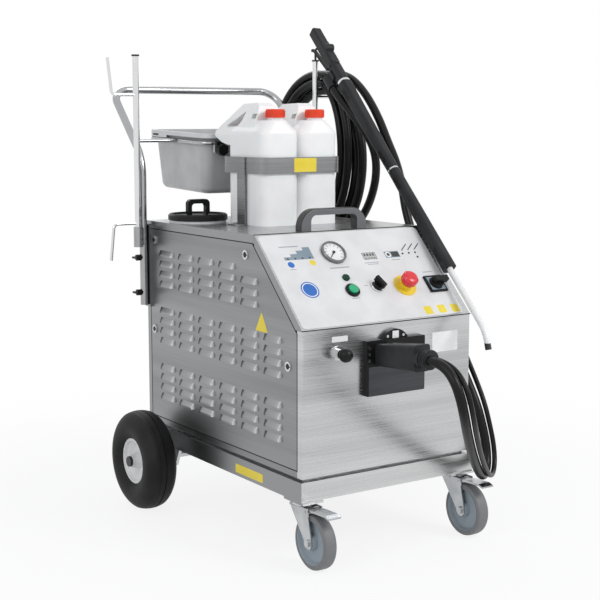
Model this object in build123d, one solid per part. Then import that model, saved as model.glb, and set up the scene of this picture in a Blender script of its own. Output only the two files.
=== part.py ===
from build123d import *
import os
from math import atan2, cos, pi, radians, sin, tan

# Dry steam cleaner. Millimetres, front towards -Y, +X to the right seen from the front, Z up from the floor.

# Cabinet
BODY_W = 480.0
BODY_D = 728.0
BODY_Z = 200.0
FRONT_TOP = 531.0
DECK_Z = 727.0
PANEL_RUN = 196.0
FRONT_Y = -413.0
SHEET = 2.0
RETURN = 20.0
SEAM = 0.6
CORNER_R = 3.0
SILL_H = 15.0

# Base frame
FRAME_LIP = 8.0
FRAME_H = 45.0
FRAME_T = 3.0
FLANGE_W = 40.0
PLINTH_H = 5.0
PLINTH_IN = 10.0
BRACKET_T = 8.0
BRACKET_IN = 4.0

# Fits
RUN_FIT = 0.05
PLAY = 0.4
LOOSE = 0.3

# Rear wheels and axle
TYRE_R = 126.0
TYRE_W = 85.0
TYRE_GAP = 31.5
TREAD_W = 46.0
GROOVE_W = 3.0
GROOVE_D = 2.0
RIM_R = 54.0
RIM_W = 54.0
LIP_H = 4.0
LIP_T = 2.5
HUB_R = 17.0
HUB_L = 72.0
AXLE_R = 10.0
SHOULDER_R = 16.0
AXLE_CAP_R = 13.0
AXLE_CAP_L = 7.0
AXLE_IN = 124.0

# Casters
CASTER_R = 62.5
CASTER_W = 32.0
CASTER_IN = 28.0
SWIVEL_IN = 24.0
TRAIL = 48.0
PLATE_L = 56.0
PLATE_W = 76.0
PLATE_T = 5.0
BOSS_R = 26.0
BOSS_H = 6.0
KINGPIN_R = 8.0
KINGPIN_HEAD_R = 12.0
CROWN_T = 5.0
CHEEK_T = 3.0
FORK_GAP = 2.0
CASTER_AXLE_R = 5.0
CASTER_HUB_R = 16.0
CASTER_WEB_T = 12.0
CASTER_TREAD_H = 13.0
PEDAL_PIN_R = 3.0
PEDAL_HUB_R = 5.5
PEDAL_REACH = 84.0
PEDAL_T = 4.0
PEDAL_W = 34.0

# Panel locks
LOCK_R = 11.0
LOCK_H = 3.0
LOCK_STEM_R = 6.0
LOCK_DEPTH = 10.0
LOCK_CAM_L = 24.0
LOCK_CAM_W = 12.0
LOCK_CAM_T = 2.0
LOCK_SLOT = 2.0

# Louvres
LOUVRE_L = 70.0
LOUVRE_H = 15.0
LOUVRE_D = 7.0
LOUVRE_ROW = 26.0
LOUVRE_BLOCK = 147.0
LOUVRE_COLS = 6
LOUVRE_ROWS = 4
LOUVRE_BLOCKS = 3
LOUVRE_FRONT = 82.0
LOUVRE_REAR = 76.0
LOUVRE_TOP = 640.0
LOUVRE_WALL = 1.5

# Control panel
OVERLAY_T = 0.8
OVERLAY_IN = 5.0
OVERLAY_RIGHT = 16.0
OVERLAY_R = 10.0
NECK_R = 11.0
NECK_L = 20.0
STEM_R = 8.0
HOLE_GAP = 0.3
GAUGE_R = 31.5
GAUGE_H = 9.0
GAUGE_BODY_R = 26.0
GAUGE_BODY_L = 28.0
DIAL_R = 27.5
DIAL_DEPTH = 5.0
NEEDLE_PIN_R = 1.5
NEEDLE_L = 21.0
NEEDLE_HUB_R = 3.5
BEZEL_R = 18.0
BEZEL_H = 5.0
CAP_R = 12.0
CAP_H = 5.0
CAP_TRAVEL = 3.0
RING_R = 17.5
KNOB_R = 12.5
KNOB_H = 6.0
LEVER_W = 9.0
LEVER_L = 31.0
LEVER_H = 14.0
SPINDLE_R = 6.0
STOP_DISC_R = 29.0
STOP_DISC_H = 3.0
STOP_SLEEVE_R = 15.0
STOP_SLEEVE_H = 9.0
STOP_R = 20.0
STOP_H = 20.0
STOP_TRAVEL = 5.0
LAMP_R = 9.0
LAMP_H = 7.0
ISOLATOR_W = 50.0
ISOLATOR_L = 47.0
ISOLATOR_T = 5.0
HANDLE_BASE_R = 18.0
HANDLE_BASE_H = 8.0
HANDLE_BAR_W = 13.0
HANDLE_BAR_L = 38.0
HANDLE_BAR_OFF = 6.0
HANDLE_BAR_H = 14.0
GAUGE_AT = (-55.0, 208.0)
LAMP_AT = (-56.0, 134.0)
START_AT = (-56.0, 97.0)
SELECTOR_AT = (18.0, 102.0)
STOP_AT = (96.0, 97.0)
ISOLATOR_AT = (186.0, 94.0)

# Front face
PULL_X = -145.0
PULL_Z = 474.0
PULL_STEM_R = 4.0
PULL_BALL_R = 16.0
PULL_COLLAR_R = 16.0
PULL_COLLAR_H = 14.0
PULL_TRAVEL = 20.0
SOCKET_W = 166.0
SOCKET_H = 127.0
SOCKET_T = 15.0
SOCKET_X = 8.0
SOCKET_Z = 432.5
FLANGE_R = 42.0
FLANGE_UP = 42.5
FLANGE_T = 10.0
PLUG_X = -30.0
PLUG_W = 44.0
PLUG_H = 50.0
PLUG_TIP_H = 60.0
PLUG_L = 138.0
PLUG_RISE = 12.0
PLUG_Z = 463.0
GLAND_R = 23.0
GLAND_L = 32.0
GLAND_TIP_R = 19.5

# Deck
DECK_HANDLE_X = -8.0
DECK_HANDLE_IN = 220.0
DECK_HANDLE_L = 192.0
DECK_HANDLE_H = 52.0
DECK_HANDLE_W = 26.0
DECK_HANDLE_T = 15.0
DECK_HANDLE_LEG = 29.0
DECK_HANDLE_R = 44.0
LID_X = -158.0
LID_BACK = 128.0
LID_R = 76.0
LID_H = 16.0
LID_PLUG_H = 12.0
LID_ARCH_W = 63.0
LID_ARCH_H = 36.0
LID_ARCH_T = 14.0
LID_ARCH_BAR = 11.0
TANK_NECK_R = 60.0
TANK_WALL = 3.0
RING_NUT_R = 72.0
RING_NUT_H = 6.0

# Jerrycans and strap
CAN_W = 115.0
CAN_D = 172.0
CAN_IN = 355.0
CAN_GAP = 2.0
CAN_X = 10.0
CAN_BODY_H = 228.0
CAN_SHOULDER_H = 30.0
CAN_CORNER = 30.0
CAN_TOP_W = 66.0
CAN_TOP_D = 144.0
CAN_NECK_R = 20.0
CAN_NECK_H = 24.0
CAN_NECK_IN = 30.0
CAN_CAP_R = 23.5
CAN_CAP_H = 21.0
CAN_GRIP_W = 112.0
CAN_GRIP_TOP = 36.0
CAN_GRIP_H = 73.0
CAN_GRIP_OVER = 60.0
CAN_ROUND = 16.0
STRAP_T = 3.0
STRAP_H = 40.0
STRAP_Z = 855.0
STRAP_CLEAR = 2.5
STRAP_SLACK = 14.0
STRAP_BAR_W = 36.0
STRAP_FOOT = 30.0
BOLT_R = 6.0
BOLT_H = 4.0

# Push handle, brackets and clamp knobs
TUBE_R = 10.0
TUBE_T = 1.5
UPRIGHT_IN = 15.0
CHANNEL_D = 7.0
CHANNEL_W = 28.0
CHANNEL_T = 2.5
CHANNEL_Z = 503.0
HANDLE_Z = 508.0
BEND_Z = 888.0
HANDLE_BACK = 173.0
HANDLE_TOP = 1066.0
BEND_R = 110.0
CROSS_R = 50.0
CLAMP_Z = (541.0, 632.0)
SCREW_R = 3.0
WING_HUB_R = 8.0
WING_HUB_L = 11.0
WING_L = 26.0
WING_T = 5.0
WING_H = 14.0

# Hook posts
POST_OUT = 20.0
POST_BACK = -11.0
POST_R = 8.0
POST_TOP = 1146.0
SLEEVE_R = 12.0
SLEEVE_Z = 661.0
SLEEVE_H = 52.0
SLEEVE_FLOOR = 4.0
WEB_T = 6.0
HOOK_R = 4.0
HOOK_UP_Z = 1049.0
HOOK_LOW_Z = 722.0
HOOK_REACH = 68.0
HOOK_LEAN = 10.0
HOOK_TIP = 92.0
HOOK_BEND = 12.0
POST_CAP_R = 10.0
POST_CAP_H = 4.0
PEG_R = 3.0
PEG_L = 27.0
PEG_BEND = 7.0

# Tub and its ring
TUB_W = 264.0
TUB_D = 310.0
TUB_BACK = 40.0
TUB_TOP = 955.0
TUB_RIM_H = 18.0
TUB_H = 157.0
TUB_RIM_W = 11.0
TUB_WALL = 3.0
TUB_TAPER_X = 11.0
TUB_TAPER_Y = 19.0
TUB_CORNER = 30.0
TUB_ROUND = 18.0
TUB_TILT = 2.0
RIM_STEP = 7.0
RIM_STEP_IN = 107.0
RIM_SLOT_L = 34.0
RIM_SLOT_H = 5.0
RING_ROD_R = 5.0
RING_IN = 4.0
LUG_W = 21.0
LUG_T = 17.0
LUG_H = 24.0
ARM_R = 4.5
RING_KNOB_X = -90.0
STAR_R = 15.0
STAR_L = 18.0
STAR_DROP = 16.0

# Steam gun
GUN_OVER = -11.0
GUN_IN = 63.5
GUN_LIFT = 38.0
GUN_SIDE = 16.5
GUN_BACK = 26.0
GUN_OVER_DECK = 501.0
TIP_SLEEVE_L = 337.5
JOINT_L = 5.0
GRIP_SLEEVE_L = 331.0
SLEEVE_END = 30.0
SLEEVE_WAIST = 27.0
SLEEVE_TOP = 34.0
SLEEVE_CORNER = 9.0
SLOT_W = 2.4
SLOT_L = 12.0
SLOT_D = 1.5
SLOT_PITCH = 6.0
SLOT_COUNT = 7
SLOT_START = 26.0
GUN_RING_R = 18.0
GUN_RING_L = 8.0
GUN_GRIP = 31.0
GUN_GRIP_L = 62.0
GUN_NUT_R = 17.5
GUN_NUT_L = 10.0
GUN_BODY_W = 30.0
GUN_BODY_L = 82.0
GUN_BLOCK = 28.0
INLET_R = 14.0
INLET_L = 44.0
INLET_OFF = 31.0
INLET_SIDE = -14.0
INLET_AT = 10.0
PIVOT_OFF = 20.0
PIVOT_AT = 26.0
PIVOT_R = 2.5
LUG_EAR = 4.0
EAR_T = 2.5
TRIGGER_L = 92.0
TRIGGER_RISE = 10.0
TRIGGER_T = 3.0
LANCE_R = 7.5
LANCE_WALL = 1.5
LANCE_SEAT = 24.0
LANCE_RUN = 198.0
LANCE_DROP = 26.0
LANCE_BEND = 80.0
LANCE_ANGLE = 74.0
NOZZLE_L = 16.0

# Hose: route points are (x, distance behind the front face, z)
HOSE_R = 11.0
COIL_GAP = 1.0
COIL_OUT = 6.0
COIL_BACK = 22.0
COIL_REAR = 178.0
COIL_FRONT = (180.0, 147.0, 111.0, 144.0)
LEAD = [
    (-29.0, -239.0, 461.0), (-28.0, -262.0, 438.0), (-22.0, -273.0, 405.0), (-3.0, -264.0, 363.0),
    (36.0, -230.0, 314.0), (88.0, -185.0, 259.0), (140.0, -141.0, 212.0), (181.0, -108.0, 179.0),
    (211.0, -85.0, 160.0), (238.0, -64.0, 153.0), (260.0, -46.0, 161.0), (273.0, -33.0, 184.0),
    (276.0, -24.0, 218.0), (273.0, -14.0, 258.0), (270.0, 2.0, 304.0), (270.0, 34.0, 352.0),
    (271.0, 88.0, 424.0), (272.0, 150.0, 510.0), (274.0, 214.0, 612.0), (275.0, 262.0, 694.0),
    (277.0, 296.0, 760.0), (283.0, 318.0, 820.0), (290.0, 352.0, 878.0), (300.0, 402.0, 930.0),
    (312.0, 456.0, 990.0), (320.0, 520.0, 1050.0), (324.5, 580.0, 1090.0), (325.5, 630.0, 1108.0),
]
TAIL = [
    (302.0, 616.0, 667.0), (302.0, 562.0, 688.0), (302.0, 514.0, 724.0), (302.0, 477.0, 772.0),
    (301.0, 453.0, 828.0), (298.0, 448.0, 882.0), (291.0, 459.0, 925.0), (281.0, 487.0, 966.0),
    (271.0, 525.0, 1006.0),
]

# Control cable beside the hose, with its in-line connector
CABLE_R = 6.0
HOSE_SHIFT = 5.0
CABLE_SHIFT = 13.0
CABLE_END_R = 9.0
CABLE_END_L = 46.0
CABLE = [
    (-10.5, -242.0, 461.0), (-9.5, -268.0, 438.0), (-6.0, -283.0, 405.0), (12.5, -274.5, 363.0),
    (51.5, -240.5, 314.0), (103.5, -195.5, 259.0), (155.5, -151.5, 212.0), (196.5, -118.5, 179.0),
    (226.5, -95.5, 160.0), (253.5, -74.5, 153.0), (275.5, -56.5, 161.0), (288.5, -43.5, 184.0),
    (291.5, -34.5, 218.0), (288.5, -24.5, 258.0), (286.5, -9.0, 304.0), (289.0, 22.0, 352.0),
    (291.0, 76.0, 424.0),
]

# Inside the cabinet
TANK_W = 152.0
TANK_D = 182.0
TANK_TOP = 712.0
BOILER_R = 105.0
BOILER_H = 330.0
BOILER_X = 85.0
BOILER_IN = 430.0
BOILER_FOOT = 40.0
VALVE_R = 16.0
VALVE_H = 60.0
PUMP_L = 150.0
PUMP_W = 90.0
PUMP_H = 110.0
PUMP_X = -110.0
PUMP_IN = 290.0
CORD_GLAND_R = 14.0
CORD_GLAND_L = 24.0
CORD_GLAND_X = -150.0
CORD_GLAND_Z = 300.0

# Values that follow from the sizes above
HALF = BODY_W / 2
REAR_Y = FRONT_Y + BODY_D
SLOPE_Y = FRONT_Y + PANEL_RUN
SLOPE = atan2(DECK_Z - FRONT_TOP, PANEL_RUN)
FLOOR_Z = BODY_Z + SHEET
FRAME_TOP = BODY_Z - PLINTH_H
FRAME_Z = FRAME_TOP - FRAME_H
FRAME_X = HALF + FRAME_LIP
WHEEL_X = FRAME_X + TYRE_GAP + TYRE_W / 2
AXLE_Y = REAR_Y - AXLE_IN
CASTER_X = FRAME_X - CASTER_IN
SWIVEL_Y = FRONT_Y + SWIVEL_IN
CASTER_Y = SWIVEL_Y - TRAIL
BOSS_Z = FRAME_Z - PLATE_T - BOSS_H
CROWN_Z = BOSS_Z - PLAY - CROWN_T
CHEEK_X = CASTER_W / 2 + FORK_GAP
PEDAL_Y = SWIVEL_Y - BOSS_R - CASTER_AXLE_R - 5.0
PEDAL_Z = CROWN_Z - PEDAL_PIN_R + 0.6
UPRIGHT_X = HALF + CHANNEL_D + TUBE_R
UPRIGHT_Y = REAR_Y - UPRIGHT_IN
POST_X = UPRIGHT_X + POST_OUT
POST_Y = UPRIGHT_Y + POST_BACK
LID_Y = REAR_Y - LID_BACK
LID_Z = DECK_Z + RING_NUT_H + PLAY
CAN_PITCH = CAN_W + CAN_GAP
CAN_Y = REAR_Y - CAN_IN
CAN_MID_Y = CAN_Y + CAN_D / 2
CAN_NECK_Y = CAN_Y + CAN_NECK_IN
CAN_SHOULDER_Z = DECK_Z + CAN_BODY_H + CAN_SHOULDER_H
TUB_Y = REAR_Y + TUB_BACK
RIM_Z = TUB_TOP - TUB_RIM_H
RING_Z = RIM_Z - RING_ROD_R - LOOSE
ARM_Y = UPRIGHT_Y + (RING_Z - BEND_Z) * HANDLE_BACK / (HANDLE_TOP - BEND_Z)
TUB_TURN = Pos(0, ARM_Y, RING_Z) * Rot(TUB_TILT, 0, 0) * Pos(0, -ARM_Y, -RING_Z)
SOCKET_FACE = FRONT_Y - SOCKET_T
GLAND_END = SOCKET_FACE - PLUG_L - GLAND_L
TIP_Z = PLUG_Z + PLUG_RISE

# Frame of the sloped panel: x across, y up the slope, z out of the panel
PANEL = Plane(
    origin=(0, FRONT_Y, FRONT_TOP), x_dir=(1, 0, 0), z_dir=(0, -sin(SLOPE), cos(SLOPE))
)
SLOPE_L = PANEL_RUN / cos(SLOPE)

# Frame of the gun: z from the sleeve's lower end to the rear block, x sideways, y to the underside
GUN_LOW = Vector(HALF + GUN_OVER, FRONT_Y + GUN_IN, FRONT_TOP + GUN_IN * tan(SLOPE) + GUN_LIFT)
GUN_HIGH = Vector(POST_X + GUN_SIDE, POST_Y + GUN_BACK, DECK_Z + GUN_OVER_DECK)
GUN_AXIS = (GUN_HIGH - GUN_LOW).normalized()
GUN_X = (Vector(1, 0, 0) - GUN_AXIS * GUN_AXIS.X).normalized()
GUN = Plane(origin=GUN_LOW, x_dir=GUN_X, z_dir=tuple(GUN_AXIS))
GUN_L = (GUN_HIGH - GUN_LOW).length
RING_W = TIP_SLEEVE_L + JOINT_L + GRIP_SLEEVE_L
GRIP_W = RING_W + GUN_RING_L
NUT_W = GRIP_W + GUN_GRIP_L
BODY_W0 = NUT_W + GUN_NUT_L
BLOCK_W = BODY_W0 + GUN_BODY_L
PIVOT_W = BODY_W0 + PIVOT_AT - GUN_NUT_L
INLET_W = GRIP_W + INLET_AT
PEG_OFF = GUN_BLOCK / 2 + PEG_R + LOOSE
PEG_W = (POST_Y - GUN_LOW.Y - PEG_OFF * GUN.y_dir.Y) / GUN_AXIS.Y
PEG_Z = GUN_LOW.Z + PEG_OFF * GUN.y_dir.Z + PEG_W * GUN_AXIS.Z

# Coil of the hose: two layers of half turns beside the right post
COIL_STEP = 2 * HOSE_R + COIL_GAP
LAYER_IN = POST_X + POST_R + COIL_OUT + HOSE_R
LAYER_OUT = LAYER_IN + COIL_STEP + 0.5
COIL_TOP = HOOK_UP_Z + HOOK_R + HOSE_R + 2.5
COIL_LOW = HOOK_LOW_Z - HOOK_R - HOSE_R - 3.0
COIL_Y = POST_Y + COIL_BACK
COIL_END = COIL_Y - 2 * HOSE_R


def block(x0, x1, y0, y1, z0, z1):
    """Box between two opposite corners."""
    return Pos((x0 + x1) / 2, (y0 + y1) / 2, (z0 + z1) / 2) * Box(x1 - x0, y1 - y0, z1 - z0)


def rod_x(radius, x0, x1, y, z):
    """Cylinder along X."""
    return Pos((x0 + x1) / 2, y, z) * Rot(0, 90, 0) * Cylinder(radius, x1 - x0)


def rod_y(radius, x, y0, y1, z):
    """Cylinder along Y."""
    return Pos(x, (y0 + y1) / 2, z) * Rot(90, 0, 0) * Cylinder(radius, y1 - y0)


def rod_z(radius, x, y, z0, z1):
    """Cylinder along Z."""
    return Pos(x, y, (z0 + z1) / 2) * Cylinder(radius, z1 - z0)


def profile_x(points, x0, x1):
    """Side profile of (y, z) points, extruded across the width."""
    outline = Polyline(*[(x0, y, z) for y, z in points], close=True)
    return extrude(make_face(outline), amount=x1 - x0, dir=(1, 0, 0))


def spun_x(points, x, y, z):
    """Profile of (offset, radius) points, turned about an axle along X."""
    outline = Polyline(*[(x + a, y, z + r) for a, r in points], close=True)
    return revolve(make_face(outline), axis=Axis((x, y, z), (1, 0, 0)))


def spun(points):
    """Profile of (radius, height) points, turned about Z at the origin."""
    outline = Polyline(*[(r, 0, h) for r, h in points], close=True)
    return revolve(make_face(outline), axis=Axis.Z)


def bar(points, radius, bends):
    """Round bar along straight runs with rounded corners."""
    path = FilletPolyline(*points, radius=bends)
    start = Plane(origin=points[0], z_dir=Vector(*points[1]) - Vector(*points[0]))
    return sweep(start * Circle(radius), path=path)


def ring(width, depth, corner, wall, height):
    """Rounded rectangular ring of constant wall, standing on Z 0."""
    outer = RectangleRounded(width, depth, corner)
    inner = RectangleRounded(width - 2 * wall, depth - 2 * wall, corner - wall)
    return extrude(outer - inner, amount=height)


def on_panel(at, shape):
    """Shape placed on the sloped panel at (across, up)."""
    return PANEL.location * Pos(at[0], at[1], 0) * shape


def group(*pieces):
    """Separate solids kept together in one sub-part."""
    return Compound(children=[piece.solid() for piece in pieces])


def base_frame():
    """Channel ring, plinth, floor tray and axle brackets, with two caster plates."""
    y0, y1 = FRONT_Y - FRAME_LIP, REAR_Y + FRAME_LIP
    frame = block(-FRAME_X, FRAME_X, y0, y1, FRAME_Z, FRAME_TOP)
    frame -= block(-FRAME_X + FRAME_T, FRAME_X - FRAME_T, y0 + FRAME_T, y1 - FRAME_T,
                   FRAME_Z + FRAME_T, FRAME_TOP - FRAME_T)
    frame -= block(-FRAME_X + FLANGE_W, FRAME_X - FLANGE_W, y0 + FLANGE_W, y1 - FLANGE_W,
                   FRAME_Z - 1, FRAME_TOP + 1)
    plinth_x = HALF - PLINTH_IN
    plinth = block(-plinth_x, plinth_x, FRONT_Y + PLINTH_IN, REAR_Y - PLINTH_IN, FRAME_TOP, BODY_Z)
    plinth -= block(-FRAME_X + FLANGE_W, FRAME_X - FLANGE_W, y0 + FLANGE_W, y1 - FLANGE_W,
                    FRAME_TOP - 1, BODY_Z + 1)
    tray_y0, tray_y1 = FRONT_Y + RETURN + SEAM, REAR_Y - RETURN - SEAM
    tray = block(-HALF, HALF, tray_y0, tray_y1, BODY_Z, BODY_Z + SILL_H)
    tray -= block(-HALF + SHEET, HALF - SHEET, tray_y0 - 1, tray_y1 + 1, FLOOR_Z, BODY_Z + SILL_H + 1)
    frame = frame + plinth + tray
    for side in (-1, 1):
        x0 = side * (FRAME_X - BRACKET_IN) - (BRACKET_T if side > 0 else 0)
        foot = TYRE_R - AXLE_R - 12
        plate = profile_x([(AXLE_Y - 48, FRAME_Z + 1), (AXLE_Y + 48, FRAME_Z + 1),
                           (AXLE_Y + 26, foot), (AXLE_Y - 26, foot)], x0, x0 + BRACKET_T)
        frame += plate
    frame -= rod_x(AXLE_R + RUN_FIT, -FRAME_X, FRAME_X, AXLE_Y, TYRE_R)
    return group(frame, caster_plate(-1), caster_plate(1))


def caster_plate(side):
    """Top plate of a caster with its boss and riveted kingpin."""
    x = side * CASTER_X
    plate = block(x - PLATE_L / 2, x + PLATE_L / 2, SWIVEL_Y - PLATE_W / 2, SWIVEL_Y + PLATE_W / 2,
                  FRAME_Z - PLATE_T, FRAME_Z)
    plate += rod_z(BOSS_R, x, SWIVEL_Y, BOSS_Z, FRAME_Z - PLATE_T)
    plate += rod_z(KINGPIN_R, x, SWIVEL_Y, CROWN_Z - PLAY, BOSS_Z)
    plate += rod_z(KINGPIN_HEAD_R, x, SWIVEL_Y, CROWN_Z - PLAY - 3, CROWN_Z - PLAY)
    return plate


def caster_fork(side):
    """Swivelling fork with its axle bolt and pedal pin."""
    x = side * CASTER_X
    top = CROWN_Z + CROWN_T
    fork = rod_z(BOSS_R + 1, x, SWIVEL_Y, CROWN_Z, top)
    fork += block(x - CHEEK_X - CHEEK_T, x + CHEEK_X + CHEEK_T, SWIVEL_Y - BOSS_R + 6, SWIVEL_Y + BOSS_R,
                  CROWN_Z, top)
    for face in (-1, 1):
        x0 = x + face * CHEEK_X - (CHEEK_T if face < 0 else 0)
        fork += profile_x([(SWIVEL_Y + BOSS_R, top), (PEDAL_Y - 8, top), (CASTER_Y - 14, CASTER_R),
                           (CASTER_Y + 14, CASTER_R)], x0, x0 + CHEEK_T)
        fork += rod_x(14, x0, x0 + CHEEK_T, CASTER_Y, CASTER_R)
    reach = CHEEK_X + CHEEK_T
    fork -= rod_z(KINGPIN_R + RUN_FIT, x, SWIVEL_Y, CROWN_Z - 1, top + 1)
    fork -= rod_x(CASTER_AXLE_R, x - reach - 1, x + reach + 1, CASTER_Y, CASTER_R)
    fork -= rod_x(PEDAL_PIN_R, x - reach - 1, x + reach + 1, PEDAL_Y, PEDAL_Z)
    bolt = rod_x(CASTER_AXLE_R, x - reach - 3, x + reach + 3, CASTER_Y, CASTER_R)
    bolt += rod_x(8.5, x - reach - 5, x - reach, CASTER_Y, CASTER_R)
    bolt += rod_x(8.5, x + reach, x + reach + 5, CASTER_Y, CASTER_R)
    pin = rod_x(PEDAL_PIN_R, x - reach - 1, x + reach + 1, PEDAL_Y, PEDAL_Z)
    return group(fork, bolt, pin)


def caster_wheel(side):
    """Caster wheel with hub, web and tread."""
    bore = CASTER_AXLE_R + RUN_FIT
    half = CASTER_W / 2
    inner = CASTER_R - CASTER_TREAD_H
    hub = half + FORK_GAP - PLAY
    points = [(-hub, bore), (hub, bore), (hub, CASTER_HUB_R), (CASTER_WEB_T / 2, CASTER_HUB_R + 2),
              (CASTER_WEB_T / 2, inner - 4), (half - 2, inner), (half, inner + 2), (half, CASTER_R - 5),
              (half - 3, CASTER_R - 1), (half - 8, CASTER_R)]
    points += [(-a, r) for a, r in reversed(points[2:])]
    return spun_x(points, side * CASTER_X, CASTER_Y, CASTER_R)


def brake_pedal(side):
    """Total-lock pedal, hinged in the fork above the wheel."""
    x = side * CASTER_X
    y, z = PEDAL_Y, PEDAL_Z
    tip = y - PEDAL_REACH
    arm = profile_x([(y + 1, z + PEDAL_T), (y - 30, z + PEDAL_T + 3), (tip + 14, z + PEDAL_T + 4),
                     (tip, z + PEDAL_T), (tip, z), (tip + 14, z + 3.5), (y - 30, z + 2.5), (y + 1, z - 1)],
                    x - PEDAL_W / 2, x + PEDAL_W / 2)
    arm += rod_x(PEDAL_HUB_R, x - PEDAL_W / 2, x + PEDAL_W / 2, y, z)
    return arm - rod_x(PEDAL_PIN_R + RUN_FIT, x - PEDAL_W, x + PEDAL_W, y, z)


def rear_axle():
    """Through axle with shoulders and end caps."""
    hub_in = WHEEL_X - HUB_L / 2 - PLAY
    hub_out = WHEEL_X + HUB_L / 2 + PLAY
    axle = rod_x(AXLE_R, -hub_out - 1, hub_out + 1, AXLE_Y, TYRE_R)
    for side in (-1, 1):
        a, b = sorted((side * (FRAME_X - BRACKET_IN), side * hub_in))
        axle += rod_x(SHOULDER_R, a, b, AXLE_Y, TYRE_R)
        a, b = sorted((side * hub_out, side * (hub_out + AXLE_CAP_L)))
        axle += rod_x(AXLE_CAP_R, a, b, AXLE_Y, TYRE_R)
    return axle


def rear_tyre(side):
    """Rounded tyre with three grooves in its tread."""
    x = side * WHEEL_X
    seat, shoulder = RIM_R + 0.1, TYRE_R - 4
    foot, crown = RIM_W / 2, TREAD_W / 2
    belly = (seat + shoulder) / 2

    def at(a, r):
        return (x + a, AXLE_Y, TYRE_R + r)

    outline = [
        Line(at(-foot, seat), at(foot, seat)),
        ThreePointArc(at(foot, seat), at(TYRE_W / 2, belly), at(crown, shoulder)),
        ThreePointArc(at(crown, shoulder), at(0, TYRE_R), at(-crown, shoulder)),
        ThreePointArc(at(-crown, shoulder), at(-TYRE_W / 2, belly), at(-foot, seat)),
    ]
    tyre = revolve(make_face(outline), axis=Axis((x, AXLE_Y, TYRE_R), (1, 0, 0)))
    for a in (-TREAD_W / 3, 0, TREAD_W / 3):
        half = GROOVE_W / 2
        depth, over = TYRE_R - GROOVE_D, TYRE_R + 2
        groove = [(a - half, depth), (a + half, depth), (a + half, over), (a - half, over)]
        tyre -= spun_x(groove, x, AXLE_Y, TYRE_R)
    seat_cut = [(-foot - 40, 0), (foot + 40, 0), (foot + 40, seat + LIP_H + 0.2), (foot, seat + LIP_H + 0.2),
                (foot, seat - 1), (-foot, seat - 1), (-foot, seat + LIP_H + 0.2),
                (-foot - 40, seat + LIP_H + 0.2)]
    return tyre - spun_x(seat_cut, x, AXLE_Y, TYRE_R)


def rear_rim(side):
    """Dished rim with barrel, lips and hub."""
    half, hub = RIM_W / 2, HUB_L / 2
    lip = half + 0.2
    points = [(0, AXLE_R + RUN_FIT), (hub, AXLE_R + RUN_FIT), (hub, HUB_R), (hub - 8, HUB_R),
              (half - 12, HUB_R + 6), (half - 12, RIM_R - 16), (half - 4, RIM_R - 5),
              (lip + LIP_T, RIM_R - 2), (lip + LIP_T, RIM_R + LIP_H), (lip, RIM_R + LIP_H), (lip, RIM_R)]
    points += [(-a, r) for a, r in reversed(points[1:])]
    return spun_x(points, side * WHEEL_X, AXLE_Y, TYRE_R)


def front_cover():
    """Folded front tray."""
    cover = block(-HALF, HALF, FRONT_Y, FRONT_Y + RETURN, BODY_Z, FRONT_TOP - SEAM)
    cover = fillet(cover.edges().filter_by(Axis.Z).group_by(Axis.Y)[0], CORNER_R)
    cover -= block(-HALF + SHEET, HALF - SHEET, FRONT_Y + SHEET, FRONT_Y + RETURN + 1,
                   BODY_Z + SHEET, FRONT_TOP + 1)
    cover -= rod_y(PULL_STEM_R + 1, PULL_X, FRONT_Y - 1, FRONT_Y + SHEET + 1, PULL_Z)
    return cover


def rear_cover():
    """Folded rear tray with the gland of the mains cable."""
    top = DECK_Z - RETURN - SEAM
    cover = block(-HALF, HALF, REAR_Y - RETURN, REAR_Y, BODY_Z, top)
    cover = fillet(cover.edges().filter_by(Axis.Z).group_by(Axis.Y)[-1], CORNER_R)
    cover -= block(-HALF + SHEET, HALF - SHEET, REAR_Y - RETURN - 1, REAR_Y - SHEET, BODY_Z + SHEET, top + 1)
    gland = rod_y(CORD_GLAND_R, CORD_GLAND_X, REAR_Y, REAR_Y + CORD_GLAND_L, CORD_GLAND_Z)
    gland -= rod_y(CORD_GLAND_R - 5, CORD_GLAND_X, REAR_Y + 8, REAR_Y + CORD_GLAND_L + 1, CORD_GLAND_Z)
    return group(cover, gland)


def panel_hole(radius, at):
    """Cutter for a round hole through the sloped panel."""
    return on_panel(at, Cylinder(radius, 12))


def panel_holes():
    """All control holes of the panel and its overlay."""
    small = NECK_R + HOLE_GAP
    return [panel_hole(GAUGE_BODY_R + HOLE_GAP, GAUGE_AT), panel_hole(small, START_AT),
            panel_hole(small, SELECTOR_AT), panel_hole(small, STOP_AT), panel_hole(small, ISOLATOR_AT),
            panel_hole(LAMP_R - 2 + HOLE_GAP, LAMP_AT)]


def control_panel():
    """Sloped panel with folded side returns."""
    across, up = RETURN / sin(SLOPE), RETURN / cos(SLOPE)
    panel = profile_x([(FRONT_Y, FRONT_TOP), (SLOPE_Y, DECK_Z), (SLOPE_Y, DECK_Z - up),
                       (FRONT_Y + across, FRONT_TOP)], -HALF, HALF)
    inside = Pos(0, SLOPE_L / 2, -SHEET - RETURN) * Box(BODY_W - 2 * SHEET, 2 * SLOPE_L, 2 * RETURN)
    panel -= PANEL.location * inside
    return panel - panel_holes()


def control_overlay():
    """Thin printed plate on the sloped panel."""
    plate = RectangleRounded(BODY_W - OVERLAY_IN - OVERLAY_RIGHT, SLOPE_L - 2 * OVERLAY_IN, OVERLAY_R)
    aside = (OVERLAY_IN - OVERLAY_RIGHT) / 2
    overlay = PANEL.location * Pos(aside, SLOPE_L / 2, 0) * extrude(plate, amount=OVERLAY_T)
    return overlay - panel_holes()


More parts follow.
